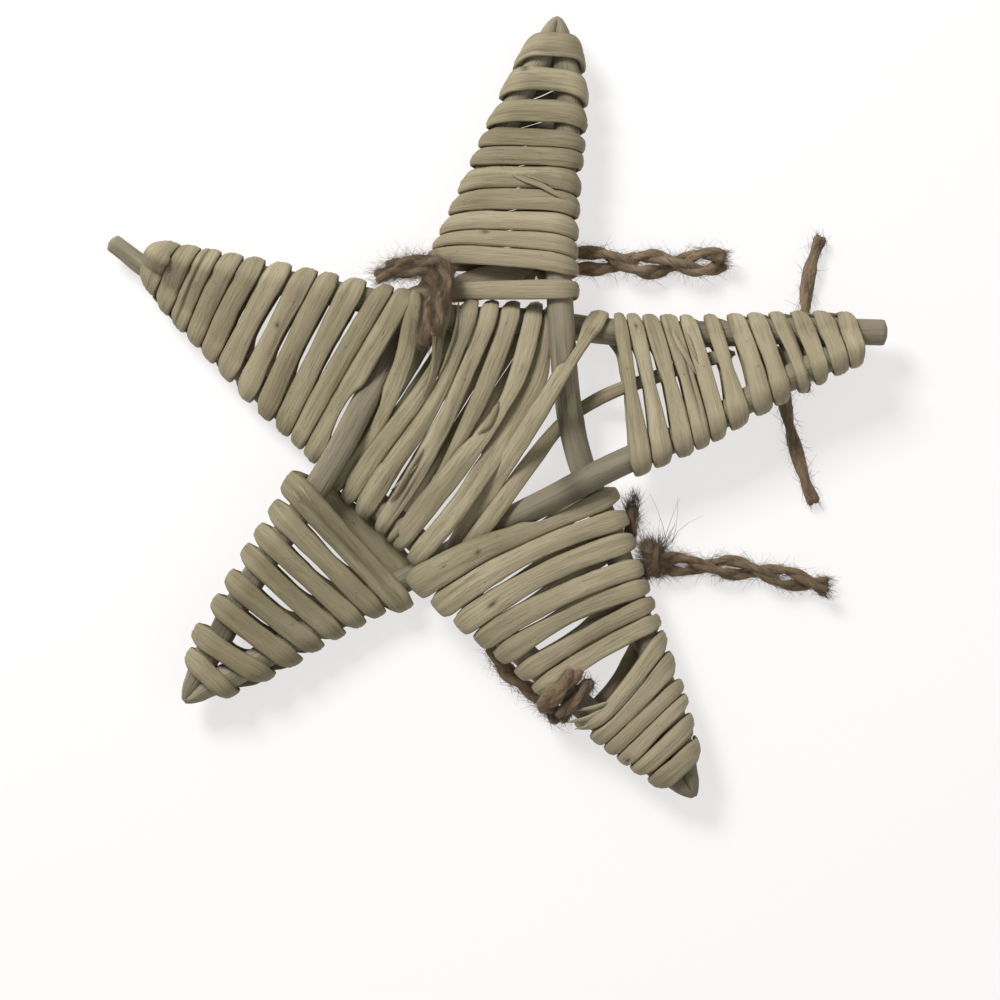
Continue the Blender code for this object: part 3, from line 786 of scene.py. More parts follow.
@dataclass
class RodSurface:
    """The surface of a round rod with bark ridges and slight swellings.

    The radius at (s, p) is the section's own, times one plus small ridges that depend
    on p and change slowly with s, plus a swelling wherever a bud was.
    """

    corners: int = 22
    ridge: float = 0.022
    swelling: float = 0.05
    first_bud: float = 0.02
    bud_spacing: float = 0.043
    bud_scatter: float = 0.012
    bud_length: float = 0.0022
    end_rounding: float = 0.0007

    def make(self, name: str, line: Line, seed: int) -> bpy.types.Object:
        """Build the rod.

        Args:
            name: the piece's name.
            line: the centreline, with half widths in the star's plane and half heights.
            seed: the source of its natural unevenness.

        Returns:
            The rod as a closed mesh with rounded ends.
        """
        rng = np.random.default_rng(seed)
        up = square(face_up(len(line.line)), line.heading)
        side = np.cross(line.heading, up)
        phase = np.linspace(0, 2 * np.pi, self.corners, endpoint=False)
        ridges = sum(smooth_noise(rng, line.along + 0.002 * turn, 0.014)[:, None]
                     * np.cos(phase[None] * (2 + 2 * turn) + rng.uniform(0, 6.3))
                     for turn in range(5)) / 2
        buds = np.zeros(len(line.along))
        for place in np.arange(self.first_bud, line.along[-1], self.bud_spacing):
            at = place + rng.uniform(-self.bud_scatter, self.bud_scatter)
            buds += np.exp(-((line.along - at) / self.bud_length) ** 2)
        size = 1 + self.ridge * ridges + self.swelling * buds[:, None] * (
            0.6 + 0.4 * np.cos(phase[None] + 1.0))
        ends = np.minimum(line.along, line.along[-1] - line.along)
        rise = np.clip(ends / self.end_rounding, 0, 1)
        bevel = np.sqrt(np.clip(1 - (1 - rise) ** 2, 0.2, 1))[:, None]
        wide = line.read["wide"][:, None] * size * bevel * np.cos(phase)[None]
        high = line.read["high"][:, None] * size * bevel * np.sin(phase)[None]
        rings = (line.line[:, None] + side[:, None] * wide[..., None]
                 + up[:, None] * high[..., None])
        tone = 0.5 + 0.5 * smooth_noise(rng, line.along, 0.02)
        bud_marks = np.clip(buds, 0, 1)[:, None] * 0.5
        values = {"tone": tone[:, None], "mark": bud_marks, "edge": 0.0}
        return closed_grid(name, rings, line.along, phase * ROD_RADIUS, values)


# Twine

def floor_line(route: list, diameter: float) -> Array:
    """A twine's centreline, with its route's heights counted from the floor up.

    Args:
        route: rows of (x, y, height in mm).
        diameter: the twine's diameter.

    Returns:
        The points of the centreline.
    """
    points = to_metres(route)
    points[:, 2] += TWINE_BED + diameter / 2
    return Line(points, {}, TWINE_STEP).line


@dataclass
class Twine:
    """A two-ply jute twine along a line.

    Each ply is a tube whose centre goes round the line in a helix, and whose radius
    carries fine grooves that wind the other way.
    """

    name: str
    diameter: float = TWINE_DIAMETER
    pitch: float = 0.0125
    fuzz: int = 150
    fuzz_length: float = 0.0028
    seed: int = 1
    corners: int = 26
    ply_swing: float = 0.19
    ply_radius: float = 0.30
    groove: float = 0.06
    groove_pitch: float = 1.3
    lying_length: float = 0.0022

    def whole(self, path: Array) -> list[bpy.types.Object]:
        """The plies and the fibres."""
        return [*self.plies(path), self.hairs(path)]

    def plies(self, path: Array) -> list[bpy.types.Object]:
        """The two plies as closed meshes."""
        return [self.ply(path, number) for number in (0, 1)]

    def ply(self, path: Array, number: int) -> bpy.types.Object:
        """One ply.

        Its centre is a set share of the diameter off the path, at an angle that grows
        by a full turn each pitch.

        Args:
            path: the twine's centreline.
            number: 0 or 1; the second ply starts half a turn on.

        Returns:
            The ply as a closed mesh.
        """
        rng = np.random.default_rng(self.seed + number)
        along = distances(path)
        up, side = square_to(unit(np.gradient(path, axis=0)))
        angle = math.pi * number + 2 * np.pi * along / self.pitch
        swing = self.diameter * self.ply_swing * (1 + 0.08 * smooth_noise(rng, along, 0.004))
        centre = path + swing[:, None] * (np.cos(angle)[:, None] * side
                                          + np.sin(angle)[:, None] * up)
        phase = np.linspace(0, 2 * np.pi, self.corners, endpoint=False)
        twist = phase[None] + 2 * np.pi * along[:, None] / (self.pitch * self.groove_pitch)
        drift = smooth_noise(rng, along, 0.005)[:, None]
        grooves = (self.groove * np.cos(5 * twist + drift)
                   + self.groove * np.cos(9 * twist + 1.3 + 2 * drift))
        radius = self.diameter * self.ply_radius * (1 + grooves) * (
            1 + 0.07 * smooth_noise(rng, along, 0.003)[:, None])
        ends = np.minimum(along, along[-1] - along)
        radius = radius * np.sqrt(np.clip(ends / 0.0006, 0.15, 1))[:, None]
        rings = (centre[:, None] + side[:, None] * (radius * np.cos(phase))[..., None]
                 + up[:, None] * (radius * np.sin(phase))[..., None])
        tone = 0.5 + 0.5 * smooth_noise(rng, along, 0.006)
        return closed_grid(f"{self.name}_ply_{number}", rings, along, phase * 0.0007,
                           {"tone": tone[:, None], "mark": 0.0, "edge": 0.0})

    def hairs(self, path: Array) -> bpy.types.Object:
        """The fibres that lie along the twine, and the loose ones that stand off it.

        Args:
            path: the twine's centreline.

        Returns:
            All of them as one object.
        """
        rng = np.random.default_rng(self.seed + 50)
        lying = Fibres(self.diameter * 0.50, self.lying_length, 0.12, thick=0.00004)
        loose = Fibres(self.diameter * 0.46, self.fuzz_length, 0.6)
        return join(f"{self.name}_fuzz", [
            lying.make(f"{self.name}_lying", path, 2 * self.fuzz, rng),
            loose.make(f"{self.name}_loose", path, self.fuzz, rng)])


def square_to(heading: Array) -> tuple[Array, Array]:
    """Two vectors square to a line, as steady along it as its bends allow.

    Args:
        heading: unit tangents.

    Returns:
        The way up and the way sideways at each point.
    """
    reference = UP
    if abs(heading[:, 2]).max() > 0.9:
        reference = unit(np.linalg.svd(heading - heading.mean(axis=0))[2][-1])
    up = square(np.tile(reference, (len(heading), 1)), heading)
    return up, np.cross(heading, up)


@dataclass
class Fibres:
    """Loose fibres as thin three-sided tubes.

    A fibre starts on the surface of the twine, leaves it at a slant and curls: its
    points are the root plus the share along times its way, plus a sideways curl that
    grows with the square of the share. radius is how far from the line they start,
    length is their mean length, spread is how far they stand off against lying along
    the twine, pull is a way that all of them lean to and thick is a fibre's radius.
    """

    radius: float
    length: float
    spread: float
    pull: tuple[float, float, float] = (0.0, 0.0, 0.0)
    thick: float = 0.000022
    rings: int = 4
    sunk: float = 0.9
    sway: float = 0.35
    shortest: float = 0.35
    longest: float = 1.5
    curl: float = 0.5
    tip: float = 0.35
    angles: tuple[float, float, float] = (0.0, 2.1, 4.2)
    palest: float = 0.45

    def make(self, name: str, path: Array, count: int,
             rng: np.random.Generator) -> bpy.types.Object:
        """Build the fibres.

        Args:
            name: the mesh's name.
            path: the line that they grow from.
            count: the number of fibres.
            rng: the seeded source.

        Returns:
            All the fibres in one mesh, each of them closed.
        """
        heading = unit(np.gradient(path, axis=0))
        up, side = square_to(heading)
        pick = rng.integers(0, len(path), count)
        turn = rng.uniform(0, 2 * np.pi, count)[:, None]
        out = np.cos(turn) * side[pick] + np.sin(turn) * up[pick]
        root = path[pick] + out * self.radius * self.sunk
        sway = rng.normal(0, 1, (count, 3))
        way = unit(self.spread * out + heading[pick] * rng.choice([-1, 1], count)[:, None] * 0.9
                   + self.sway * sway + np.array(self.pull))
        reach = self.length * rng.uniform(self.shortest, self.longest, count)[:, None]
        share = np.linspace(0, 1, self.rings)[None, :, None]
        curl = unit(np.cross(way, sway)) * rng.uniform(-self.curl, self.curl, count)[:, None]
        line = root[:, None] + reach[:, None] * (share * way[:, None]
                                                 + share**2 * curl[:, None])
        line[..., 2] = np.clip(line[..., 2], self.thick * 1.5, CEILING)
        across = unit(np.cross(way, np.array([0.3, 0.2, 0.9])))
        other = np.cross(way, across)
        size = self.thick * np.linspace(1, self.tip, self.rings)[None, :, None, None]
        ring = (np.cos(self.angles)[None, None, :, None] * across[:, None, None]
                + np.sin(self.angles)[None, None, :, None] * other[:, None, None])
        points = (line[:, :, None] + size * ring).reshape(-1, 3)
        each = 3 * self.rings
        first = (np.arange(count) * each)[:, None, None]
        row = first + (np.arange(self.rings - 1) * 3)[None, :, None]
        column = np.arange(3)[None, None]
        following = (column + 1) % 3
        quads = np.stack([row + column, row + following, row + 3 + following,
                          row + 3 + column], axis=-1).reshape(-1, 4)
        starts = np.arange(count)[:, None] * each + np.array([2, 1, 0])
        ends = np.arange(1, count + 1)[:, None] * each - np.array([3, 2, 1])
        mesh = bpy.data.meshes.new(name)
        mesh.from_pydata(points.tolist(), [], quads.tolist() + starts.tolist() + ends.tolist())
        mesh.update()
        mesh.uv_layers.new(name="UVMap")
        store(mesh, "tone", rng.uniform(0.0, self.palest, count).repeat(each))
        store(mesh, "mark", np.zeros(len(points)))
        store(mesh, "edge", np.zeros(len(points)))
        face_outwards(mesh, points, quads)
        return link(name, mesh)


# Finishes

class Graph:
    """A small helper that adds nodes and links to one node tree."""

    def __init__(self, tree: bpy.types.NodeTree) -> None:
        """Keep the tree."""
        self.tree = tree

    def add(self, kind: str, inputs: dict | None = None, **settings: object) -> bpy.types.Node:
        """Add a node.

        Args:
            kind: the node's type name.
            inputs: socket names or numbers, with constants or sockets to link.
            settings: the node's own properties.

        Returns:
            The node.
        """
        node = self.tree.nodes.new(kind)
        for key, value in settings.items():
            setattr(node, key, value)
        for key, value in (inputs or {}).items():
            if isinstance(value, bpy.types.NodeSocket):
                self.tree.links.new(value, node.inputs[key])
            else:
                node.inputs[key].default_value = value
        return node

    def math(self, operation: str, *values: object) -> bpy.types.NodeSocket:
        """A Math node's output for these inputs."""
        node = self.add("ShaderNodeMath", dict(enumerate(values)), operation=operation)
        return node.outputs[0]

    def mix(self, share: object, one: object, two: object) -> bpy.types.NodeSocket:
        """Two colours mixed by a share."""
        node = self.add("ShaderNodeMix", {0: share, 6: one, 7: two}, data_type="RGBA")
        return node.outputs[2]

    def noise(self, where: bpy.types.NodeSocket, scale: object, detail: float,
              roughness: float = 0.5) -> bpy.types.bpy_prop_collection:
        """A noise's value and colour."""
        return self.add("ShaderNodeTexNoise", {
            "Vector": where, "Scale": scale, "Detail": detail, "Roughness": roughness}).outputs

    def fade(self, value: bpy.types.NodeSocket, low: float, high: float,
             strength: float) -> bpy.types.NodeSocket:
        """Nothing where a value is at low, rising to a strength where it is at high."""
        return self.add("ShaderNodeMapRange", {0: value, 1: low, 2: high, 3: 0.0,
                                               4: strength}).outputs[0]


def fibre_group() -> bpy.types.NodeTree:
    """The shader node group for lengthwise fibres, shared by all finishes.

    It stretches two noises along the piece's own UV map and puts out a fine value, a
    broad value and a height for the bump.

    Returns:
        The group.
    """
    group = bpy.data.node_groups.new("lengthwise_fibres", "ShaderNodeTree")
    face = group.interface
    for name, value in (("Fineness", 60.0), ("Stretch", 12.0), ("Slant", 0.0)):
        socket = face.new_socket(name, in_out="INPUT", socket_type="NodeSocketFloat")
        socket.default_value = value
    for name in ("Fine", "Broad", "Height", "Crack"):
        face.new_socket(name, in_out="OUTPUT", socket_type="NodeSocketFloat")
    graph = Graph(group)
    given = graph.add("NodeGroupInput").outputs
    uv = graph.add("ShaderNodeUVMap", uv_map="UVMap").outputs[0]
    parts = graph.add("ShaderNodeSeparateXYZ", {0: uv}).outputs
    slanted = graph.math("ADD", parts[1], graph.math("MULTIPLY", parts[0], given["Slant"]))
    along = graph.math("DIVIDE", parts[0], given["Stretch"])
    place = graph.add("ShaderNodeCombineXYZ", {0: along, 1: slanted}).outputs[0]
    fine = graph.noise(place, given["Fineness"], 4.0, 0.6)[0]
    coarse = graph.math("MULTIPLY", given["Fineness"], 0.22)
    broad = graph.noise(place, coarse, 3.0)[0]
    height = graph.math("ADD", graph.math("MULTIPLY", fine, 0.6),
                        graph.math("MULTIPLY", broad, 0.8))
    far = graph.math("DIVIDE", parts[0], 2.2)
    spot = graph.add("ShaderNodeCombineXYZ", {0: far, 1: parts[1]}).outputs[0]
    thin = graph.noise(spot, 13.0, 3.0, 0.7)[0]
    height = graph.math("SUBTRACT", height, graph.fade(thin, 0.69, 0.74, 0.8))
    graph.add("NodeGroupOutput", {"Fine": fine, "Broad": broad, "Height": height,
                                  "Crack": thin})
    return group


@dataclass(frozen=True)
class Finish:
    """A plant-fibre finish: two main colours, streaks, marks and a bump along the grain."""

    name: str
    pale: tuple[float, float, float]
    deep: tuple[float, float, float]
    streak_and_edge_shade: tuple[float, float, float]
    stain: tuple[float, float, float]
    fineness: float = 60.0
    stretch: float = 12.0
    slant: float = 0.0
    bump: float = 0.3
    roughness: tuple[float, float] = (0.5, 0.75)
    streak_share: float = 0.35
    sheen: float = 0.0
    warm: tuple[float, float, float] = (0.385, 0.32, 0.212)
    cracks: float = 0.8

    def make(self, group: bpy.types.NodeTree) -> bpy.types.Material:
        """Build the material.

        Args:
            group: the shared fibre group.

        Returns:
            The material.
        """
        material = bpy.data.materials.new(self.name)
        material.use_nodes = True
        graph = Graph(material.node_tree)
        shader = material.node_tree.nodes["Principled BSDF"]
        fibres = graph.add("ShaderNodeGroup", node_tree=group)
        for key, value in (("Fineness", self.fineness), ("Stretch", self.stretch),
                           ("Slant", self.slant)):
            fibres.inputs[key].default_value = value
        tone, mark, edge = (
            graph.add("ShaderNodeAttribute", attribute_name=name).outputs["Fac"]
            for name in ("tone", "mark", "edge"))
        where = graph.add("ShaderNodeTexCoord").outputs["Object"]
        patch = graph.noise(where, 90.0, 2.0)[0]
        speck = graph.add("ShaderNodeTexVoronoi", {"Vector": where, "Scale": 260.0}).outputs[0]
        blend = graph.math("MULTIPLY_ADD", patch, 0.9, graph.math(
            "MULTIPLY_ADD", tone, 0.8, -0.35))
        blend = graph.add("ShaderNodeClamp", {0: blend}).outputs[0]
        colour = graph.mix(blend, (*self.pale, 1.0), (*self.deep, 1.0))
        hue = graph.add("ShaderNodeSeparateColor",
                        {0: graph.noise(where, 42.0, 1.0)[1]}).outputs[0]
        spots = graph.math("MULTIPLY", graph.fade(speck, 0.10, 0.05, 0.5), patch)
        fine, broad, crack = (fibres.outputs[name] for name in ("Fine", "Broad", "Crack"))
        layers = (
            (graph.fade(fine, 0.5, 0.72, self.streak_share), self.streak_and_edge_shade),
            (graph.fade(broad, 0.42, 0.7, self.streak_share * 0.8), self.streak_and_edge_shade),
            # Painted shade: each strip darkens towards its sides, where neighbouring turns
            # shade it
            (graph.fade(edge, 0.8, 1.0, 0.6), self.streak_and_edge_shade),
            (graph.fade(hue, 0.48, 0.62, 0.4), self.warm),
            (graph.fade(crack, 0.70, 0.73, self.cracks), self.stain),
            (graph.math("MAXIMUM", spots, mark), self.stain))
        for share, tint in layers:
            colour = graph.mix(share, colour, (*tint, 1.0))
        material.node_tree.links.new(colour, shader.inputs["Base Color"])
        smooth, rough = self.roughness
        rough = graph.add("ShaderNodeMapRange", {0: fine, 3: smooth, 4: rough}).outputs[0]
        material.node_tree.links.new(rough, shader.inputs["Roughness"])
        bump = graph.add("ShaderNodeBump", {"Height": fibres.outputs["Height"],
                                            "Strength": self.bump, "Distance": 0.0004})
        material.node_tree.links.new(bump.outputs[0], shader.inputs["Normal"])
        shader.inputs["Specular IOR Level"].default_value = 0.3
        shader.inputs["Sheen Weight"].default_value = self.sheen
        return material


STRIP_FINISH = Finish("split_willow", (0.45, 0.39, 0.255), (0.255, 0.22, 0.132),
                      (0.15, 0.118, 0.064), (0.055, 0.038, 0.02), fineness=26.0,
                      stretch=14.0, bump=0.8, streak_share=0.72)
ROD_FINISH = Finish("willow_bark", (0.33, 0.285, 0.195), (0.175, 0.15, 0.10),
                    (0.085, 0.068, 0.043), (0.05, 0.038, 0.025), fineness=22.0, stretch=20.0,
                    bump=0.7, streak_share=0.75, warm=(0.27, 0.235, 0.165))
JUTE_FINISH = Finish("jute", (0.245, 0.175, 0.107), (0.11, 0.076, 0.045),
                     (0.36, 0.265, 0.165), (0.05, 0.03, 0.015), fineness=40.0, stretch=9.0,
                     slant=0.5, bump=0.9, roughness=(0.8, 0.95), streak_share=0.6, sheen=0.1,
                     warm=(0.19, 0.12, 0.062), cracks=0.3)


# The sub-assemblies

WINDINGS = [
    Winding("strip_top", "wrap_top", ("right_leg", "long_leg"), [
        Turn(292, 300, 0, (21, 19, 14)), Turn(271, 263, 6, (22, 22, 24)),
        Turn(253, 251, 8, (23, 21, 20)), Turn(233, 235, 8, (24, 21, 22)),
        Turn(210, 214, 9, (25, 22, 24)), Turn(188, 192, 8, (25, 25, 26)),
        Turn(161, 166, 5, (24, 22, 22)), Turn(145, 147, 3, (21, 21, 21)),
        Turn(124, 128, 11, (23, 23, 22)), Turn(99, 98, 14, (24, 24, 26)),
        Turn(67, 69, 16, (26, 25, 26))], 11,
        marks=[(527, 92, 8, 0.6, 0.8, 0.25), (538, 181, 90, 0.5, 0.1, 0.1),
               (485, 243, 10, 0.6, 0.8, 0.3)],
        slivers=[[(508, 174, 0.3, 3), (524, 181, 0.8, 7), (541, 188, 1.0, 6),
                  (556, 197, 0.8, 5), (573, 206, 0.3, 2)],
                 [(520, 176, 0.4, 2), (534, 180, 0.9, 4), (548, 187, 0.7, 2)]],
        start=[(452, 286, -1.2, 16), (480, 277, -1.4, 21), (515, 272, -1.4, 23),
               (546, 275, -1.2, 22)], quick=1.0, bow_power=4.5, tone=0.25, back_width=34.0),
    Winding("strip_left", "wrap_left", ("cross", "left_leg"), [
        Turn(402, 322, 0, (24, 25, 24)), Turn(384, 308, 2, (21, 21, 22)),
        Turn(355, 293, 2, (26, 20, 23)), Turn(328, 275, 2, (25, 20, 24)),
        Turn(307, 256, 2, (25, 19, 25)), Turn(281, 237, 2, (26, 20, 26)),
        Turn(255, 220, 2, (26, 22, 25)), Turn(233, 205, 2, (26, 26, 24)),
        Turn(211, 190, 2, (27, 27, 24)), Turn(190, 176, 2, (28, 27, 25)),
        Turn(169, 161, 3, (30, 29, 26))], 12,
        marks=[(274, 325, 7, 0.35, 0.0, 0.2), (197, 290, 150, 0.3, 0.3, 0.08)], tone=0.05),
    Winding("strip_lower_left", "wrap_lower_left", ("long_leg", "low_leg"), [
        Turn(496, 393, 0, (34, 28, 28), swell=(11, 8)),
        Turn(521, 370, 0, (26, 20, 23), swell=(8, 1)),
        Turn(543, 351, 1, (24, 19, 22), swell=(6, 1)),
        Turn(562, 330, 2, (23, 20, 23), swell=(5, 1)),
        Turn(587, 308, 2, (25, 21, 24), swell=(4, 2)),
        Turn(611, 285, 1, (25, 22, 25), swell=(4, 4)),
        Turn(641, 258, 2, (25, 21, 25), swell=(7, 3)),
        Turn(663, 224, 0, (24, 21, 23), swell=(3, 1))], 13,
        marks=[(345, 535, 200, 0.6, 0.05, 0.07)],
        slivers=[[(292, 488, 0.3, 3), (298, 495, 0.7, 5), (306, 506, 0.5, 3)],
                 [(298, 482, 0.3, 2), (306, 491, 0.7, 4), (316, 506, 0.4, 2)]],
        start=[(407, 574, -2.0, 26), (388, 553, -2.9, 31), (357, 522, -3.0, 31),
               (332, 493, -2.0, 26)], quick=0.45, tone=0.6),
    Winding("strip_lower_right", "wrap_lower_right", ("left_leg", "right_leg"), [
        Turn(440, 502, 0, (40, 20, 20), swell=(17, 4), via=(
            (448, 569, 0.3, 37), (484, 549, 0.4, 29), (515, 537, 0.2, 24),
            (556, 519, 0.0, 21), (590, 506, 0.0, 20))),
        Turn(461, 525, -12, (32, 23, 23), swell=(13, 3)),
        Turn(480, 547, -10, (29, 22, 24), swell=(9, 1)),
        Turn(496, 573, -8, (27, 22, 24), swell=(5, 0)),
        Turn(513, 591, -7, (25, 15, 21), swell=(2, 0)),
        Turn(532, 608, -3, (23, 16, 19)), Turn(549, 626, -4, (22, 18, 19)),
        Turn(590, 643, 0, (16, 14, 21), via=((600, 716, 0.2, 15), (617, 697, 0.5, 14),
                                             (636, 674, 0.5, 16))),
        Turn(607, 665, 3, (22, 20, 26)),
        Turn(620, 690, 0, (20, 15, 18)), Turn(633, 704, 0, (21, 15, 17)),
        Turn(646, 724, 2, (21, 19, 22)), Turn(664, 749, 2, (24, 21, 24))], 14,
        marks=[(476, 551, 7, 0.25, 0.0, 0.05), (490, 603, 14, 0.25, 0.0, 0.05),
               (628, 758, 8, 0.4, 0.3, 0.2)],
        slivers=[[(606, 706, 0.3, 5), (588, 716, 0.8, 6), (567, 721, 0.8, 3)],
                 [(610, 700, 0.3, 4), (592, 706, 1.0, 5), (572, 709, 1.0, 2)],
                 [(600, 716, 0.2, 4), (586, 725, 0.6, 4), (574, 728, 0.4, 2)]], quick=0.7,
        tone=-0.02),
    Winding("strip_right", "wrap_right", ("low_leg", "cross"), [
        Turn(613, 599, 0, (22, 18, 20)), Turn(635, 618, 0, (26, 13, 15)),
        Turn(655, 632, 2, (25, 13, 18)), Turn(678, 649, 2, (25, 14, 20)),
        Turn(694, 668, 2, (21, 15, 24)), Turn(709, 686, 2, (22, 17, 18)),
        Turn(729, 710, 2, (27, 13, 18)), Turn(754, 735, 2, (26, 18, 22)),
        Turn(772, 755, 2, (22, 17, 21)), Turn(794, 776, 2, (14, 15, 21), tilt=-25),
        Turn(811, 797, 2, (17, 18, 21)), Turn(831, 819, 2, (22, 19, 22)),
        Turn(848, 843, 0, (20, 21, 22))], 15,
        tone=-0.05, lead=[(446, 555, 0.8, 12), (461, 536, 1.6, 19), (476, 513, 2.3, 20),
              (495, 480, 3.3, 20), (522, 438, 4.4, 20), (546, 400, 5.2, 19),
              (564, 370, 5.0, 17), (577, 350, 4.5, 15), (586, 337, 2.8, 15)],
        marks=[(641, 326, 6, 0.3, 0.0, 0.2), (684, 380, 90, 0.4, 0.3, 0.1)],
        slivers=[[(671, 328, 0.3, 3), (677, 342, 0.9, 7), (685, 357, 1.0, 6),
                  (695, 376, 0.5, 2)],
                 [(684, 326, 0.2, 3), (690, 345, 0.8, 5), (697, 365, 0.6, 2)]], quick=0.25),
    Winding("strip_centre", "wrap_centre", ("cross", "left_leg"), [
        Turn(412, 347, 0, (18, 18, 20), via=((404, 362, -0.6, 19), (388, 400, -0.8, 20),
                                             (370, 434, -0.9, 20))),
        Turn(445, 358, 0, (15, 19, 22), via=((441, 335, 1.2, 13, 62), (435, 368, 1.0, 14, 50),
                                             (420, 396, 0.6, 19), (400, 424, 0.4, 21),
                                             (374, 458, 0.3, 21))),
        Turn(471, 373, 0, (21, 19, 24), via=((462, 335, 0.2, 19), (450, 370, 0.3, 19),
                                             (430, 411, 0.5, 20), (396, 459, 0.4, 22))),
        Turn(492, 392, 0, (21, 19, 21), via=((480, 338, 0.2, 20), (466, 370, 0.3, 20),
                                             (446, 418, 0.4, 19), (429, 451, 0.4, 19),
                                             (402, 498, 0.3, 20))),
        Turn(513, 402, 0, (21, 17, 10), via=((503, 340, 0.2, 19), (492, 370, 0.3, 19),
                                             (471, 418, 0.3, 17), (454, 450, -0.1, 11),
                                             (438, 478, -0.9, 7), (415, 510, -1.0, 7))),
        Turn(535, 409, 0, (20, 22, 23), via=((527, 345, 0.2, 20), (519, 372, 0.4, 20),
                                             (509, 397, 0.7, 15), (496, 418, 0.9, 12, -25),
                                             (480, 440, 0.8, 20), (455, 471, 0.5, 24),
                                             (430, 502, 0.5, 24))),
        Turn(551, 426, 0, (16, 19, 22), via=((547, 340, -0.9, 17), (540, 370, -0.9, 21),
                                             (515, 418, -0.6, 24), (484, 469, 0.0, 23),
                                             (464, 500, 0.2, 21)))],
        16, marks=[(412, 478, 100, 0.45, 0.35, 0.07), (404, 492, 70, 0.45, -0.3, 0.07)],
        slivers=[[(499, 402, 0.5, 3), (493, 416, 1.0, 8), (486, 428, 1.1, 7),
                  (478, 434, 0.8, 2)],
                 [(426, 446, 0.4, 3), (413, 465, 1.0, 5), (402, 484, 1.2, 4),
                  (391, 502, 0.8, 2)],
                 [(420, 462, 0.4, 3), (408, 476, 0.9, 3), (392, 490, 1.0, 2)],
                 [(449, 301, 0.5, 3), (438, 316, 1.5, 4), (435, 342, 1.6, 4),
                  (433, 372, 1.2, 4), (424, 398, 0.5, 3)],
                 [(459, 302, 0.4, 3), (456, 330, 1.0, 3), (448, 356, 1.0, 3),
                  (438, 380, 0.5, 2)]], quick=1.0, tone=-0.08, back_width=19.0),
]

TUCKED_ROUTE = [(457, 558, 2.1, 13), (468, 546, 2.7, 17), (485, 525, 3.4, 18),
                (500, 505, 3.5, 18), (519, 478, 2.4, 18), (538, 453, -0.3, 17),
                (551, 436, -2.8, 15),
                (562, 424, -4.2, 14), (572, 415, -4.5, 14), (584, 407, -4.2, 14),
                (596, 400, -3.0, 14), (608, 394, -1.4, 14), (620, 389, -0.5, 14),
                (650, 379, 0.0, 14), (692, 364, 0.0, 14), (735, 353, 0.2, 14)]

FOLD_SHAPE = [(46, 13.6, 13.8, 2.45), (34, 10.2, 11.6, 2.35), (24, 7.6, 9.6, 2.2),
              (15, 5.5, 8.0, 2.0), (8, 3.4, 5.4, 1.7)]
FOLD_TIP = (3.2, 3.6, 1.3)
STUB_SHAPE = [(109, 240, 9.2), (125, 252, 9.4), (139, 263, 10.2)]
STUB_END = (156, 270)


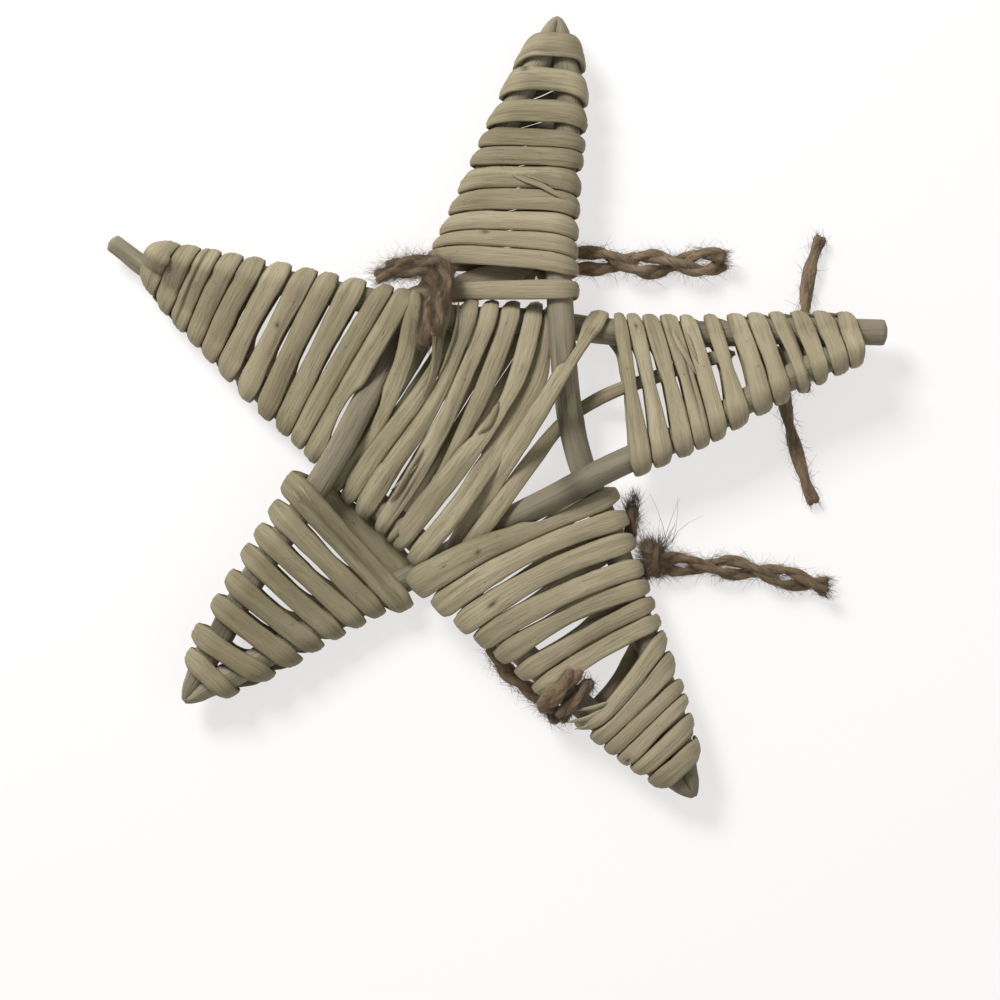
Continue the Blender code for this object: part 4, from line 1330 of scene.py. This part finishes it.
@dataclass
class Star:
    """The rods and all the strips of the star.

    A leg of the folded rod ends fold_reach before a tip and its next one starts
    leaving_reach behind it, both in picture units, and the rods' surfaces go through
    every sixth and every eighth point of their centrelines.
    """

    strip: StripSurface = field(default_factory=StripSurface)
    splinter: StripSurface = field(
        default_factory=lambda: StripSurface(corners=12, ridge=0.00002, least=0.0001))
    rod: RodSurface = field(default_factory=RodSurface)
    fold_reach: float = 56.0
    leaving_reach: float = 58.0
    cross_every: int = 6
    folded_every: int = 8
    sliver_thickness: float = 0.0004

    def rods(self, rods: dict[str, Rod], finish: bpy.types.Material) -> None:
        """Build the folded rod and the cross rod."""
        cross = rods["cross"]
        points = np.vstack([cross.line[:-3:self.cross_every], cross.line[-1:]])
        size = np.full(len(points), ROD_RADIUS)
        line = Line(points, {"wide": size, "high": size})
        place(self.rod.make("rod_cross", line, 31), finish, "willow_rod", "cross_rod")
        points, wide, high = self.folded(rods)
        line = Line(points, {"wide": wide, "high": high})
        place(self.rod.make("rod_folded", line, 32), finish, "willow_rod", "folded_rod")

    def folded(self, rods: dict[str, Rod]) -> tuple[Array, Array, Array]:
        """The folded rod's centreline from its left end to its right end.

        At a fold the two legs close in on each other and get narrow, so that only a
        slit is left between them, and meet in the tip.

        Args:
            rods: the woven centrelines.

        Returns:
            The points, the half widths and the half heights.
        """
        order = (("left_leg", False, "lower_right"), ("right_leg", True, "top"),
                 ("long_leg", False, "lower_left"), ("low_leg", True, None))
        stub = to_metres([(x, y, 1000 * END_HEIGHTS["left_leg"][0]) for x, y, _ in STUB_SHAPE])
        points = list(stub)
        wide = [half * UNIT for _, _, half in STUB_SHAPE]
        high = list(wide)
        before = None
        for name, turned, fold in order:
            line = rods[name].line[::-1] if turned else rods[name].line
            tips = [to_metres([FOLDS[at]])[0] for at in (before, fold) if at]
            keep = np.ones(len(line), bool)
            for tip in tips:
                keep &= np.linalg.norm(line - tip, axis=1) > self.fold_reach * UNIT
            if name == "left_leg":
                keep &= line[:, 0] > to_metres([STUB_END])[0, 0]
            kept = line[keep][::self.folded_every]
            points.extend(kept)
            wide.extend([ROD_RADIUS] * len(kept))
            high.extend([ROD_RADIUS] * len(kept))
            if fold:
                following = order[[row[0] for row in order].index(name) + 1]
                other = rods[following[0]]
                for point, half, tall in self.fold(tips[-1], kept[-1], other):
                    points.append(point)
                    wide.append(half)
                    high.append(tall)
            before = fold
        return np.array(points), np.array(wide), np.array(high)

    def fold(self, tip: Array, arriving: Array, other: Rod) -> list[tuple[Array, float, float]]:
        """The points of one fold, in along one leg and out along the other.

        Args:
            tip: where the fold ends.
            arriving: the last point of the leg that comes in.
            other: the leg that goes out.

        Returns:
            Rows of (point, half width, half height).
        """
        far = np.linalg.norm(other.line - tip, axis=1)
        leaving = other.line[np.argmin(np.abs(far - self.leaving_reach * UNIT))]
        inward = (arriving + leaving) / 2 - tip
        inward = unit(inward * (1, 1, 0))
        across = np.array([-inward[1], inward[0], 0.0])
        sign = math.copysign(1.0, across.dot(arriving - tip))
        rows = [*((*row, sign) for row in FOLD_SHAPE), (FOLD_TIP[0], 0.0, *FOLD_TIP[1:], sign),
                *((*row, -sign) for row in FOLD_SHAPE[::-1])]
        return [(tip + inward * along * UNIT + way * across * apart * UNIT, half * UNIT,
                 tall / 1000) for along, apart, half, tall, way in rows]

    def strips(self, rods: dict[str, Rod], finish: bpy.types.Material) -> None:
        """Build every wound strip and the tucked one.

        Args:
            rods: the woven centrelines.
            finish: the strips' material.
        """
        for winding in WINDINGS:
            line = winding.lay(rods)
            others = [rod for rod in rods.values() if rod.name not in winding.rods]
            parts = [self.strip.make(winding.name, line, others, winding.seed,
                                     winding.thickness, winding.marks, winding.tone)]
            parts += [self.splinter.make(f"{winding.name}_sliver_{number}", sliver, [],
                                         winding.seed + 100 + number,
                                         self.sliver_thickness, [])
                      for number, sliver in enumerate(winding.loose(line))]
            piece = join(winding.name, parts) if len(parts) > 1 else parts[0]
            place(piece, finish, "willow_strip", winding.node)
        points = to_metres([row[:3] for row in TUCKED_ROUTE])
        widths = np.array([row[3] for row in TUCKED_ROUTE]) * UNIT
        line = Line(points, {"normal": face_up(len(points)), "width": widths,
                             "tilt": np.zeros(len(points))})
        piece = self.strip.make("strip_tucked", line, [], 17, STRIP_THICKNESS, [])
        place(piece, finish, "willow_strip", "tucked_strip")


TIE_ROUTE = [(383, 270, 4.5), (398, 266, 5.6), (420, 265, 7.6), (438, 269, 9.0),
             (444, 281, 10.6), (441, 297, 12.2), (437, 313, 12.6), (434, 328, 12.6),
             (432, 341, 12.0)]
EDGE_ROUTE = [(491, 646, 0.2), (498, 660, 0.2), (509, 674, 0.4), (523, 686, 0.7),
              (538, 697, 1.1), (550, 709, 1.7), (561, 722, 2.5)]
UPPER_TAIL_ROUTE = [(521, 262, 0.0), (545, 260, 0.3), (570, 259, 1.0), (600, 260, 1.6),
                    (650, 263, 1.6), (690, 262, 1.6), (727, 259, 1.6)]
LOWER_TAIL_ROUTE = [(669, 564, 1.3), (692, 566, 1.3), (724, 567, 1.3), (760, 572, 1.3),
                    (800, 581, 1.3), (830, 588, 1.3)]
BACK_TWINE_UP = [(806, 392, 0.0), (807, 370, 0.0), (807, 345, 0.0), (807, 318, 0.0),
                 (809, 290, 0.0), (814, 262, 0.0), (824, 234, 0.0)]
BACK_TWINE_DOWN = [(784, 345, 0.0), (784, 370, 0.0), (787, 400, 0.0), (793, 430, 0.0),
                   (801, 458, 0.0), (809, 484, 0.0), (817, 504, 0.0)]
KNOT_STRANDS = [
    (0.0026, [(674, 560, 1.0), (662, 558, 1.4), (651, 550, 1.6), (645, 541, 1.2)]),
    (0.0026, [(674, 568, 0.8), (661, 569, 1.2), (651, 570, 1.2), (643, 574, 0.8)]),
    (0.0020, [(662, 546, 0.6), (656, 556, 3.0), (655, 566, 3.0), (660, 576, 0.6)]),
    (0.0016, [(646, 556, 2.2), (654, 561, 2.8), (666, 564, 2.4)]),
    (0.0026, [(631, 538, 0.2), (632, 526, 0.4), (633, 514, 0.5), (634, 505, 0.5)]),
]
KNOT_TUFTS = [(652, 552, 1.8, (-0.6, 1.3, 0.1), 160, 0.0034),
              (648, 566, 1.8, (-1.4, 0.2, 0.0), 150, 0.0032),
              (650, 574, 1.4, (-1.0, -0.9, 0.0), 120, 0.0026),
              (660, 552, 1.8, (0.5, 1.5, 0.1), 60, 0.0040),
              (667, 546, 1.8, (0.7, 2.6, 0.1), 7, 0.0095),
              (634, 506, 1.6, (-0.2, 1.6, 0.1), 110, 0.0030)]
TWIST_HALF_TURN = 55.0
TAIL_SEPARATION = 0.0003


class End(Enum):
    """How hairy a free end is.

    Each holds the twine's pitch, the number and length of its loose fibres, and the
    number and length of those in the brush at its end.
    """

    NEAT = (0.021, 110, 0.0012, 60, 0.0009)
    FRAYED = (0.0135, 260, 0.0019, 120, 0.0015)


@dataclass
class Jute:
    """The twine: its tie, loop, edge strand, knot and free tails.

    tie_shifts move the tie's two strands by (x, y, height in mm), and loops holds, for
    each turn round the rod, where it starts along it and its share of the twine's
    thickness.
    """

    finish: bpy.types.Material
    tie_shifts: tuple = ((4, -2, 0.0), (-8, 7, -0.5))
    loop_station: float = 566.0
    loops: tuple = ((-0.0014, 1.3), (0.0022, 0.9))
    loop_gap: float = 0.0002
    loop_points: int = 150
    loop_slant: float = 0.0006
    edge_diameter: float = 0.0033
    upper_twist_start: float = 74.0
    lower_twist_start: float = 10.0

    def held(self, rods: dict[str, Rod]) -> None:
        """Build the twine that is tied to the star.

        Args:
            rods: the woven centrelines.
        """
        parts = []
        for number, (x, y, z) in enumerate(self.tie_shifts):
            route = [(a + x, b + y, c + z) for a, b, c in TIE_ROUTE]
            tie = Twine(f"tie_{number}", fuzz=600, fuzz_length=0.0032, seed=41 + 5 * number)
            parts += tie.whole(floor_line(route, tie.diameter))
        self.piece("twine_tie_strand", parts, "twine_tie")
        edge = Twine("edge", self.edge_diameter, fuzz=200, seed=44)
        parts = edge.whole(floor_line(EDGE_ROUTE, edge.diameter))
        self.piece("twine_edge_strand", parts, "twine_edge")
        rod = rods["left_leg"]
        spot = rod.station(self.loop_station)
        heading = rod.direction(spot)
        side = unit(np.cross(heading, UP))
        up = np.cross(side, heading)
        parts = []
        for number, (start, reach) in enumerate(self.loops):
            turn = np.linspace(0.3, 2 * np.pi + 0.1, self.loop_points)[:, None]
            slant = np.linspace(-self.loop_slant, self.loop_slant, self.loop_points)
            shift = (start + slant)[:, None] * heading
            radius = ROD_RADIUS + self.loop_gap + reach * TWINE_DIAMETER / 2
            path = rod.point(spot) + shift + radius * (np.cos(turn) * side + np.sin(turn) * up)
            loop = Twine(f"loop_{number}", TWINE_DIAMETER * reach, fuzz=200,
                         fuzz_length=0.0022, seed=47 + 5 * number)
            parts += loop.whole(path)
        self.piece("twine_loop_strand", parts, "twine_loop")
        self.knot()

    def knot(self) -> None:
        """The frayed knot: short strands that splay from the tail, and tufts of fibres."""
        floor = SEAT[2] + TWINE_BED
        parts = []
        for number, (diameter, rows) in enumerate(KNOT_STRANDS):
            path = to_metres(rows)
            path[:, 2] = floor + diameter / 2 + np.array([row[2] for row in rows]) / 1000
            strand = Twine(f"knot_{number}", diameter, fuzz_length=0.003, seed=51 + 3 * number)
            parts += strand.whole(Line(path, {}, FINE_STEP).line)
        rng = np.random.default_rng(55)
        for x, y, z, way, count, length in KNOT_TUFTS:
            spot = to_metres([(x, y, 0)])[0]
            spot[2] = floor + z / 1000
            root = spot + np.column_stack([np.linspace(-0.0009, 0.0009, 12),
                                           np.linspace(-0.0012, 0.0012, 12), np.zeros(12)])
            tuft = Fibres(0.0007, 0.75 * length, 0.3, way, 0.00006)
            parts.append(tuft.make(f"tuft_{x}", root, count, rng))
        self.piece("twine_knot_frayed", parts, "twine_knot")

    def free(self) -> None:
        for tail, route, diameter, start, seed in (
                ("upper", UPPER_TAIL_ROUTE, TWINE_DIAMETER, self.upper_twist_start, 61),
                ("lower", LOWER_TAIL_ROUTE, FRAYED_TWINE_DIAMETER, self.lower_twist_start, 65)):
            for number, path in enumerate(twisted_pair(route, diameter, start)):
                node = f"twine_{tail}_{number + 1}"
                self.cord(node, path, diameter, seed + number, End.FRAYED)
        for way, route, seed in (("up", BACK_TWINE_UP, 71), ("down", BACK_TWINE_DOWN, 72)):
            path = floor_line(route, TWINE_DIAMETER)
            self.cord(f"twine_back_{way}", path, TWINE_DIAMETER, seed, End.NEAT)

    def cord(self, node: str, path: Array, diameter: float, seed: int, end: End) -> None:
        """One free end, with its fuzz as a piece on it.

        Args:
            node: the CAD node that it stands for.
            path: its centreline.
            diameter: its diameter.
            seed: the source of its natural unevenness.
            end: how hairy it is.
        """
        pitch, fuzz, fuzz_length, brush_count, brush_length = end.value
        twine = Twine(node, diameter, pitch, fuzz, fuzz_length, seed)
        strand = join(f"{node}_strand", twine.plies(path))
        rng = np.random.default_rng(seed + 80)
        way = tuple(2.5 * unit(path[-1] - path[-20]))
        brush = Fibres(diameter * 0.4, brush_length, 0.2, way, 0.00004).make(
            f"{node}_brush", path[-12:], brush_count, rng)
        fuzz = join(f"{node}_fuzz", [twine.hairs(path), brush])
        place(strand, self.finish, "jute", node)
        place(fuzz, self.finish, "jute", None)

    def piece(self, name: str, parts: list[bpy.types.Object], node: str) -> None:
        """Join the parts of one twine piece and dress it."""
        place(join(name, parts), self.finish, "jute", node)


def twisted_pair(route: list, diameter: float, twist_start: float) -> tuple[Array, Array]:
    """Two strands laid round each other after a first straight stretch.

    Each is half a strand and half the gap off the middle line, level at first and then
    at an angle that grows by half a turn every TWIST_HALF_TURN.

    Args:
        route: the pair's middle line.
        diameter: one strand's diameter.
        twist_start: where the twist begins, in picture units along the line.

    Returns:
        The two centrelines.
    """
    line = floor_line(route, diameter)
    phase = np.pi * np.clip(distances(line) / UNIT - twist_start, 0, None) / TWIST_HALF_TURN
    level = unit(np.cross(UP, unit(np.gradient(line, axis=0))))
    offset = (diameter + TAIL_SEPARATION) / 2 * (
        np.cos(phase)[:, None] * level + np.sin(phase)[:, None] * UP)
    return line + offset, line - offset


def place(piece: bpy.types.Object, finish: bpy.types.Material, slot: str,
          node: str | None) -> None:
    """Dress a piece and say what it rides on and stands for.

    Args:
        piece: the finished object.
        finish: its material.
        slot: a material slot's name; not used.
        node: the CAD node that it replaces, if any.
    """
    piece.data.materials.clear()
    piece.data.materials.append(finish)
    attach(piece, "root")
    if node:
        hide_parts(node)
    log.info("%s: %d faces", piece.name, len(piece.data.polygons))


@dataclass
class Studio:
    """A pale floor, soft light and a camera that looks straight down."""

    field_of_view: float = 0.190
    distance: float = 0.62
    floor_half: float = 1.5
    sensor: float = 36.0
    white: tuple[float, float, float, float] = (1.0, 0.99, 0.98, 1.0)
    paper: tuple[float, float, float, float] = (0.33, 0.325, 0.323, 1.0)
    paper_glow: tuple[float, float, float, float] = (1.0, 0.982, 0.978, 1.0)

    def floor(self) -> None:
        """A wide pale floor just under the star."""
        mesh = bpy.data.meshes.new("floor")
        half = self.floor_half
        mesh.from_pydata([(-half, -half, 0), (half, -half, 0), (half, half, 0),
                          (-half, half, 0)], [], [(0, 1, 2, 3)])
        floor = link("floor", mesh)
        material = bpy.data.materials.new("floor")
        material.use_nodes = True
        shader = material.node_tree.nodes["Principled BSDF"]
        shader.inputs["Base Color"].default_value = self.paper
        shader.inputs["Emission Color"].default_value = self.paper_glow
        shader.inputs["Emission Strength"].default_value = 0.66
        shader.inputs["Roughness"].default_value = 0.9
        mesh.materials.append(material)

    def light(self, name: str, spot: tuple[float, float, float], size: float,
              power: float) -> None:
        """One square light aimed at the star.

        Args:
            name: its name.
            spot: where it hangs, in metres.
            size: its side.
            power: its power in watts.
        """
        data = bpy.data.lights.new(name, "AREA")
        data.size = size
        data.energy = power
        lamp = link(name, data)
        lamp.location = spot
        way = -np.array(spot)
        lamp.rotation_euler = (math.atan2(math.hypot(way[0], way[1]), -way[2]), 0.0,
                               math.atan2(way[0], -way[1]) + math.pi)

    def make(self) -> None:
        """Set the whole scene."""
        self.floor()
        world = bpy.data.worlds.new("studio")
        world.use_nodes = True
        background = world.node_tree.nodes["Background"]
        background.inputs[0].default_value = self.white
        background.inputs[1].default_value = 0.28
        bpy.context.scene.world = world
        self.light("key", (-0.42, 0.55, 0.66), 0.3, 9.0)
        self.light("fill", (0.5, -0.2, 0.8), 0.9, 1.6)
        data = bpy.data.cameras.new("camera")
        data.sensor_width = self.sensor
        data.lens = self.sensor * self.distance / self.field_of_view
        camera = link("camera", data)
        camera.location = to_metres([(500, 500)])[0] + self.distance * UP
        bpy.context.scene.camera = camera
        bpy.context.scene.view_settings.view_transform = "Standard"


def main() -> None:
    """Build the camera and the cords first, then the star."""
    logging.basicConfig(level=logging.INFO, format="%(name)s: %(message)s")
    Studio().make()
    group = fibre_group()
    jute = Jute(JUTE_FINISH.make(group))
    jute.free()
    rods = make_rods()
    jute.held(rods)
    star = Star()
    star.rods(rods, ROD_FINISH.make(group))
    star.strips(rods, STRIP_FINISH.make(group))


if __name__ == "__main__":
    main()
